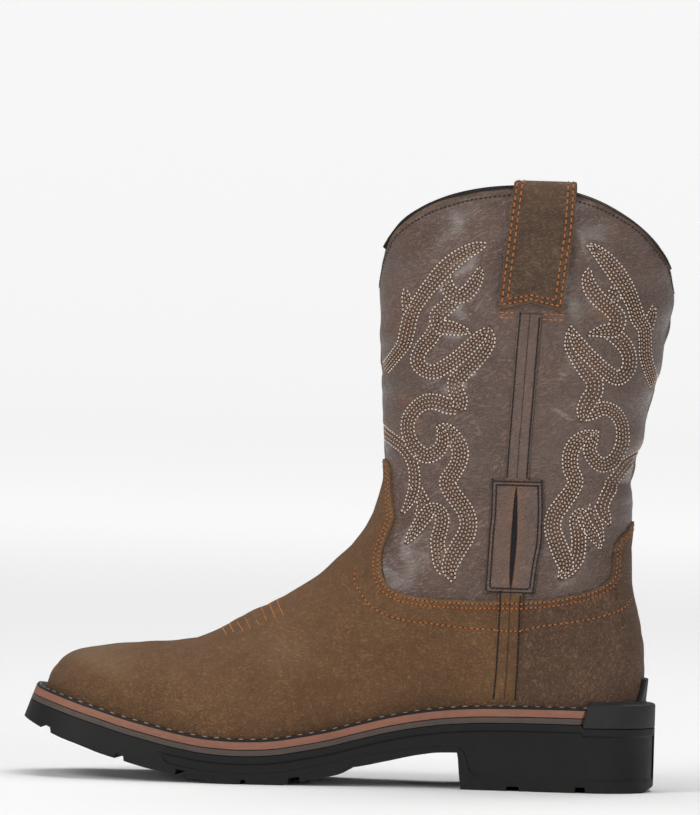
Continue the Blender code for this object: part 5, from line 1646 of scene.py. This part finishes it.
def toe_at_drop(drop):
    return SOLE_TOE_TOP - TOE_LEAN * drop


def band_end(z):
    return BAND_END + BAND_LEAN * (z - BAND_END_LEVEL)


def sole_stations():
    near_toe = np.array([0.0, 0.004, 0.02, 0.05, 0.1, 0.2, 0.35, 0.55, 0.8, 1.1, 1.5, 2.0, 2.6, 3.3, 4.1, 5.0, 6.0,
                         7.0])
    near_heel = np.array([0.0, 0.01, 0.05, 0.15, 0.3, 0.55, 0.9, 1.3, 1.9, 2.6, 3.4, 4.3, 5.3, 6.4])
    even = np.arange(SOLE_TOE + 8.0, SOLE_HEEL - 7.0, 0.8)
    grooves = [x + edge + beside for x, width, *_ in GROOVES for edge in (-width / 2, width / 2)
               for beside in (-0.25, 0.25)]
    breast = [3.2, 5.4, 57.6, 58.2, 58.8, 59.8]
    extra = np.array(grooves + breast)
    even = even[np.min(np.abs(even[:, None] - extra[None, :]), axis=1) > 0.3]
    return np.sort(np.concatenate([SOLE_TOE + near_toe, even, extra, SOLE_HEEL - near_heel]))


def groove_depth(x, share):
    """How deep the tread's grooves are at a place, share being how far out from the middle it lies."""
    depth = np.zeros(np.broadcast(x, share).shape)
    for at, width, deep, reach, _ in GROOVES:
        across = smoothstep(width / 2 + 0.26, width / 2 - 0.26, np.abs(x - at))
        out = smoothstep(1 - reach - 0.03, 1 - reach + 0.03, share)
        if width == 3.0:
            out = out * smoothstep(0.96, 0.9, share)
        depth = np.maximum(depth, deep * across * out)
    return depth


def make_outsole_piece():
    x = sole_stations()
    drop = RUST + DARK + 2 * GAP
    top_toe = toe_at_drop(drop)
    top_x = lean(x, top_toe)
    top = seat_height(top_x) - drop - BAND_SINK * (x > 117.4)
    bottom = column(TREAD, x)
    edge_bottom = bottom + groove_depth(x, np.ones_like(x))
    sunk = RECESS * smoothstep(PANEL_START, PANEL_START + 4.0, x)
    panel_top = top - 3.4
    panel_foot = np.minimum(np.maximum(column(PANEL_FOOT, x), edge_bottom + 0.9), panel_top - 1.2)
    levels = ((top, 0.0), (panel_top + 0.1, 0.0), (panel_top - 0.5, sunk), (panel_foot + 0.5, sunk),
              (panel_foot - 0.1, 0.0), (edge_bottom, 0.3))
    slant = np.interp(x, [row[0] for row in GROOVES], [row[4] for row in GROOVES])
    shares = (0.985, 0.93, 0.86, 0.78, 0.7, 0.63, 0.58, 0.53, 0.5, 0.47, 0.44, 0.41, 0.38, 0.35, 0.25, 0.12, 0.0)
    halves = []
    for side, sign in ((1, -1.0), (2, 1.0)):
        corners = []
        for z, inset in levels:
            share = (z - bottom) / (top - bottom)
            toe = SOLE_TOE + (top_toe - SOLE_TOE) * share
            at = x + (top_x - x) * share
            half = np.maximum(sole_edge(at, side, toe, inset), 0.0)
            corners.append(np.stack([at, sign * half, z], axis=1))
        wall = round_corners(np.stack(corners, axis=1), 0.55, 3, closed=False)
        half = np.abs(corners[-1][:, 1])
        under = []
        for share in shares:
            shift = np.tan(np.radians(slant)) / 2 * half * (1 - share)
            fade = smoothstep(0.0, 12.0, np.minimum(x - SOLE_TOE, SOLE_HEEL - x))
            z = bottom + groove_depth(x, np.full(len(x), share)) + 0.12 * (share > 0.97)
            under.append(np.stack([x + shift * fade, sign * half * share, z], axis=1))
        middle = np.stack([top_x, np.zeros_like(x), top], axis=1)
        halves.append([middle] + [wall[:, row] for row in range(wall.shape[1])] + under)
    ring = halves[0] + halves[1][1:-1][::-1]
    grid = np.stack(ring, axis=1)
    faces = grid_faces(len(x), grid.shape[1], closed_round=True)
    low = np.clip(1 - (grid[..., 2] - bottom[:, None]) / 2.5, 0.0, 1.0)
    rubber = moulded_rubber("sole_rubber", colours().rubber, 0.5, 0.3)
    outsole = make_mesh("moulded_outsole", grid, faces, [rubber], None, {"wear_and_highlight": 0.35 * low}, 30.0)
    dress(outsole, "sole_rubber", "outsole")


def make_midsole_pieces():
    base = sole_stations()
    base = np.append(base[base < BAND_END - 0.7], BAND_END - 0.7)
    for name, top_drop, thickness, colour, node in (
            ("rust_midsole", -0.8, RUST + 0.8, colours().rust, "midsole_rust"),
            ("taupe_midsole", RUST + GAP, DARK, colours().taupe, "midsole_dark")):
        rows = []
        for drop, inset in ((top_drop, 7.0), (top_drop, 0.0), (top_drop + thickness, 0.0), (top_drop + thickness, 7.0)):
            toe = toe_at_drop(drop)
            at = lean(base, toe)
            z = seat_height(at) - drop
            share = smoothstep(BAND_END - 8.0, BAND_END - 0.7, base)
            at = at + (band_end(z) - BAND_END) * share
            if inset > 0:
                at = at + inset * (1 - smoothstep(0.0, 30.0, base - SOLE_TOE))
            rows.append((at, z, toe, inset))
        rings = []
        for side, sign in ((1, -1.0), (2, 1.0)):
            part = []
            for at, z, toe, inset in rows:
                half = np.maximum(sole_edge(at, side, toe + inset) - inset, 0.0)
                part.append(np.stack([at, sign * half, z], axis=1))
            ring = round_corners(np.stack(part, axis=1), 0.35, 3, closed=False)
            narrow = ring[-1:] * (1.0, 0.96, 1.0)
            rings.append(np.concatenate([ring, narrow, narrow + (5.0, 0.0, 0.0)]))
        grid = np.concatenate([rings[0], rings[1][:, ::-1]], axis=1)
        faces = grid_faces(len(grid), grid.shape[1], closed_round=True)
        # Painted highlight on the midsole's side near the ball, where a lamp's reflection falls
        wear_and_highlight = 0.4 * hill(grid[..., 0], -20.0, 14.0)
        made = make_mesh(name + "_layer", grid, faces, [foam_rubber(name, colour)], None, {"wear_and_highlight": wear_and_highlight})
        dress(made, node, node)


def foot_outline(turn, lift, clear):
    """Places beside the foot of the upper, clear of it, at a height above the midsole."""
    around = turn[:, None] + np.array([-0.01, 0.0, 0.01])
    x = UPPER_TOE + (UPPER_HEEL - UPPER_TOE) * (1 - np.cos(around)) / 2
    z = seat_height(x) + lift
    outer = around > 0
    y = np.where(outer, -half_width(x, z, 1), half_width(x, z, 2))
    out = unit(np.stack([y[:, 2] - y[:, 0], x[:, 0] - x[:, 2]], axis=1)) * clear
    return x[:, 1] + out[:, 0], y[:, 1] + out[:, 1]


def sole_outline(turn, lift, inset=0.0):
    toe = toe_at_drop(-lift) + inset
    x = toe + 0.06 + (SOLE_HEEL - toe) * (1 - np.cos(turn)) / 2
    x = np.minimum(x, band_end(seat_height(x) + lift) - GAP)
    half = np.where(turn > 0, sole_edge(x, 1, toe), sole_edge(x, 2, toe)) - inset
    return x, np.where(turn > 0, -1.0, 1.0) * np.maximum(half, 0.0)


def welt_turns(count):
    half_turn = np.linspace(0.0, math.pi, 2001)
    foot_x = UPPER_TOE + (UPPER_HEEL - UPPER_TOE) * (1 - np.cos(half_turn)) / 2
    last = float(np.interp(BAND_END - 1.2, foot_x, half_turn))
    turns = np.linspace(-last, last, count)
    return turns[np.abs(turns) > 1e-6]


def make_welt_piece():
    turns = welt_turns(760)
    corners = []
    for inner, lift in ((True, 0.05), (True, WELT + 0.3), (False, WELT - 0.1), (False, 0.85)):
        x, y = foot_outline(turns, lift, 0.9) if inner else sole_outline(turns, lift)
        corners.append(np.stack([x, y, seat_height(x) + lift], axis=1))
    sections = np.stack(corners, axis=1)
    sections[:, 2, 2] += 0.072 * np.sin(np.arange(len(turns)) * 2 * math.pi / 4.0)
    grid = round_corners(sections, 0.5, 3)
    faces = grid_faces(len(turns), grid.shape[1], closed_round=True, flip=True)
    finish = moulded_rubber("welt_rubber", colours().welt, 0.42, 0.2)
    welt = make_mesh("stitched_welt", grid, faces, [finish], None, {"wear_and_highlight": np.zeros(grid.shape[:2])})
    dress(welt, "welt", "welt")
    line = welt_turns(2600)
    x, y = sole_outline(line, WELT, 1.5)
    points = np.stack([x, y, seat_height(x) + WELT + 0.05], axis=1)
    normals = np.stack([np.zeros_like(x), np.where(line > 0, -0.4, 0.4), np.ones_like(x)], axis=1)
    pitch = sizes().welt_pitch / MM
    runs = []
    stitch_row(runs, [], (points, normals), pitch, pitch * 0.5, 0.62, 0)
    sew("welt_stitching", runs, [thread("welt_thread", WELT_THREAD)], "welt")


def reach_from_heel(angles, inside):
    """How far from the heel's middle something holds, each way."""
    return halve(len(angles), 5.0, 60.0, 34,
                 lambda reach: inside(HEEL_X + reach * np.cos(angles), np.abs(reach * np.sin(angles))))


def make_heel_seat_piece():
    widest = math.acos((BAND_END - HEEL_X - 1.0) / HEEL_REACH)
    angles = np.linspace(-widest, widest, 240)
    outer = np.sin(angles) < 0
    low = float(seat_height(130.0)) - RUST - DARK - GAP - BAND_SINK

    def rim(x, y):
        edge = np.where(outer, sole_edge(x, 1, SOLE_TOE), sole_edge(x, 2, SOLE_TOE))
        return (x < SOLE_HEEL) & (y < edge)

    def face(level):
        level = np.broadcast_to(level, angles.shape)

        def inside(x, y):
            half = np.where(outer, half_width(x, level, 1), half_width(x, level, 2))
            return (x < column(BACK, level)) & (y < half)
        return reach_from_heel(angles, inside)

    reach = reach_from_heel(angles, rim)
    across = np.abs(reach * np.sin(angles))
    share = np.clip(1 - (across / SPUR_HALF) ** 2, 0.0, 1.0)
    tall = np.minimum(1.0, 1.5 * share)
    top = SEAT_BAND_TOP + 0.9 + (SPUR_TOP - SEAT_BAND_TOP - 0.9) * tall
    clear = 1.75
    foot = face(38.0) + clear
    inner_mid = face(SEAT_BAND_TOP) + clear
    inner_top = face(top) + clear
    bead = inner_mid + 2.1
    corners = ((foot, low), (reach, low), (reach, SEAT_BAND_TOP - 0.9), (reach - 0.9, SEAT_BAND_TOP - 0.3),
               (bead + 0.5, SEAT_BAND_TOP - 0.3), (bead, SEAT_BAND_TOP + 0.9), (inner_top + 2.3, top - 1.6),
               (inner_top + 1.9 + 0.5 * tall, top), (inner_top, top + 0.1), (inner_mid, SEAT_BAND_TOP))
    sections = []
    for radius, z in corners:
        z = np.broadcast_to(z, angles.shape)
        x = np.maximum(HEEL_X + radius * np.cos(angles), band_end(z))
        sections.append(np.stack([x, radius * np.sin(angles), z], axis=1))
    grid = round_corners(np.stack(sections, axis=1), 0.6, 3)
    faces = grid_faces(len(angles), grid.shape[1], closed_round=True)
    faces.append(list(range(grid.shape[1]))[::-1])
    faces.append([(len(angles) - 1) * grid.shape[1] + number for number in range(grid.shape[1])])
    rubber = moulded_rubber("heel_seat_rubber", colours().seat, 0.48, 0.25)
    made = make_mesh("heel_seat_band", grid, faces, [rubber], None, {"wear_and_highlight": np.zeros(grid.shape[:2])}, 35.0)
    dress(made, "heel_seat_rubber", "heel_seat")


def make_footbed_piece():
    inset = WALL + 1.0
    start, end = UPPER_TOE + inset, UPPER_HEEL - inset
    even = (1 - np.cos(np.linspace(0.03, math.pi - 0.03, 150))) / 2
    x = start + (end - start) * even
    shares = np.linspace(-1.0, 1.0, 61)
    grid_s, grid_x = np.meshgrid(shares, x)
    ends = rounded_ends(grid_x - start, end - grid_x, (34.0, 2.7), (33.0, 2.1))
    outer = (column(FEATHER_WIDTH, grid_x, 1) - inset) * ends
    inner = (column(FEATHER_WIDTH, grid_x, 2) - inset) * ends
    y = np.where(grid_s < 0, grid_s * outer, grid_s * inner)
    cup = 1.6 * np.abs(grid_s) ** 3
    z = seat_height(grid_x) + GAP + INSOLE + cup - 0.4
    top = np.stack([grid_x, y, z], axis=-1)
    under = np.stack([grid_x, y, seat_height(grid_x) + GAP], axis=-1)
    ring = np.concatenate([top, under[:, ::-1]], axis=1)
    faces = grid_faces(len(x), ring.shape[1], closed_round=True)
    made = make_mesh("footbed", ring, faces, [lining_cloth("footbed_cloth", colours())])
    dress(made, "insole", "insole")


def make_stage():
    profile = [(0.0, 0.0), (1.0, 0.0), (3.0, 0.0), (6.5, 0.0)]
    for angle in np.linspace(0.0, math.pi / 2, 20)[1:]:
        profile.append((6.5 + 1.5 * math.sin(angle), 1.5 - 1.5 * math.cos(angle)))
    around = 96
    points = [(reach * math.cos(turn), reach * math.sin(turn), z) for reach, z in profile
              for turn in np.linspace(0.0, 2 * math.pi, around, endpoint=False)]
    faces = grid_faces(len(profile), around, closed_round=True)
    mesh = bpy.data.meshes.new("floor_and_backdrop")
    mesh.from_pydata(points, [], faces)
    mesh.materials.append(floor_paint("floor_paint", colours()))
    mesh.shade_smooth()
    floor = bpy.data.objects.new("floor_and_backdrop", mesh)
    bpy.context.scene.collection.objects.link(floor)
    for name, spot, size, power, aim in LAMPS:
        light = bpy.data.lights.new(name, "AREA")
        light.shape = "SQUARE"
        light.size = size
        light.energy = power
        lamp = bpy.data.objects.new(name, light)
        lamp.location = spot
        lamp.rotation_euler = (Vector(aim) - Vector(spot)).to_track_quat("-Z", "Y").to_euler()
        bpy.context.scene.collection.objects.link(lamp)
    world = bpy.data.worlds.new("soft_room")
    bpy.context.scene.world = world
    world.use_nodes = True
    background = world.node_tree.nodes["Background"]
    background.inputs["Color"].default_value = WHITE
    background.inputs["Strength"].default_value = ROOM_LIGHT
    bpy.context.scene.view_settings.view_transform = "Standard"
    bpy.context.scene.view_settings.look = "None"


def make_camera():
    turn, raised = CAMERA_TURN, CAMERA_RAISED
    away = Vector((math.sin(turn) * math.cos(raised), -math.cos(turn) * math.cos(raised), math.sin(raised)))
    level = Vector((math.cos(turn), math.sin(turn), 0.0))
    upright = away.cross(level)
    cos, sin = math.cos(PICTURE_TILT), math.sin(PICTURE_TILT)
    right, above = level * cos + upright * sin, upright * cos - level * sin
    spot = Vector(CAMERA_TARGET) + away * CAMERA_AWAY
    camera = bpy.data.cameras.new("camera")
    camera.sensor_fit = "HORIZONTAL"
    camera.sensor_width = SENSOR
    camera.lens = SENSOR * (CAMERA_AWAY - CAMERA_NEAR) / CAMERA_WIDTH
    camera.clip_end = 50.0
    thing = bpy.data.objects.new("camera", camera)
    thing.matrix_world = Matrix.Translation(spot) @ Matrix((right, above, away)).transposed().to_4x4()
    bpy.context.scene.collection.objects.link(thing)
    bpy.context.scene.camera = thing


class BOOT_OT_stage(bpy.types.Operator):
    """Floor, backdrop, lights and camera."""
    bl_idname = "boot.stage"
    bl_label = "Stage"

    def execute(self, context):
        make_stage()
        make_camera()
        return {"FINISHED"}


class BOOT_OT_shaft(bpy.types.Operator):
    """The upper's leather with its folded collar edge."""
    bl_idname = "boot.shaft"
    bl_label = "Shaft leather"

    def execute(self, context):
        make_shaft_piece()
        return {"FINISHED"}


class BOOT_OT_lining(bpy.types.Operator):
    """Cloth lining and footbed."""
    bl_idname = "boot.lining"
    bl_label = "Lining and footbed"

    def execute(self, context):
        make_lining_piece()
        make_footbed_piece()
        return {"FINISHED"}


class BOOT_OT_overlays(bpy.types.Operator):
    """Vamp and counter."""
    bl_idname = "boot.overlays"
    bl_label = "Vamp and counter"

    def execute(self, context):
        make_overlay_piece("vamp", True, foot_leather("vamp_leather", colours().vamp, colours()), 300)
        counter = foot_leather("counter_leather", colours().counter, colours(), 0.75, 1.3, 0.46)
        make_overlay_piece("counter", False, counter, 170)
        return {"FINISHED"}


class BOOT_OT_side_sheets(bpy.types.Operator):
    """Side seam strips, slit patches and their elastic."""
    bl_idname = "boot.side_sheets"
    bl_label = "Strips, patches and elastic"

    def execute(self, context):
        make_side_sheets()
        return {"FINISHED"}


class BOOT_OT_straps(bpy.types.Operator):
    """Pull straps with their stitching."""
    bl_idname = "boot.straps"
    bl_label = "Pull straps"

    def execute(self, context):
        make_strap_pieces()
        return {"FINISHED"}


class BOOT_OT_scroll(bpy.types.Operator):
    """Decorative stitching on the shaft."""
    bl_idname = "boot.scroll"
    bl_label = "Scroll stitching"

    def execute(self, context):
        make_scroll_pieces()
        return {"FINISHED"}


class BOOT_OT_seams(bpy.types.Operator):
    """Seam stitching of foot, sides and collar."""
    bl_idname = "boot.seams"
    bl_label = "Seam stitching"

    def execute(self, context):
        make_foot_stitching()
        make_side_stitching()
        return {"FINISHED"}


class BOOT_OT_sole(bpy.types.Operator):
    """Outsole, both midsole layers, welt and heel seat."""
    bl_idname = "boot.sole"
    bl_label = "Sole and welt"

    def execute(self, context):
        make_outsole_piece()
        make_midsole_pieces()
        make_welt_piece()
        make_heel_seat_piece()
        return {"FINISHED"}


OPERATORS = (BOOT_OT_stage, BOOT_OT_shaft, BOOT_OT_lining, BOOT_OT_overlays, BOOT_OT_side_sheets, BOOT_OT_straps,
             BOOT_OT_scroll, BOOT_OT_seams, BOOT_OT_sole)


class BOOT_PT_sidebar(bpy.types.Panel):
    """Lists the boot's sizes, colours and pieces."""
    bl_idname = "BOOT_PT_sidebar"
    bl_label = "Western work boot"
    bl_space_type = "VIEW_3D"
    bl_region_type = "UI"
    bl_category = "Boot"

    def draw(self, context):
        for operator in OPERATORS:
            self.layout.operator(operator.bl_idname)
        for group in (context.scene.boot_sizes, context.scene.boot_colours):
            for name in group.__annotations__:
                self.layout.prop(group, name)


CLASSES = (BootSizes, BootColours) + OPERATORS + (BOOT_PT_sidebar,)


def register():
    for made in CLASSES:
        bpy.utils.register_class(made)
    bpy.types.Scene.boot_sizes = bpy.props.PointerProperty(type=BootSizes)
    bpy.types.Scene.boot_colours = bpy.props.PointerProperty(type=BootColours)


def unregister():
    del bpy.types.Scene.boot_colours
    del bpy.types.Scene.boot_sizes
    for made in reversed(CLASSES):
        bpy.utils.unregister_class(made)


def main():
    register()
    for operator in OPERATORS:
        name = operator.bl_idname.split(".")[1]
        getattr(bpy.ops.boot, name)()


if __name__ == "__main__":
    main()
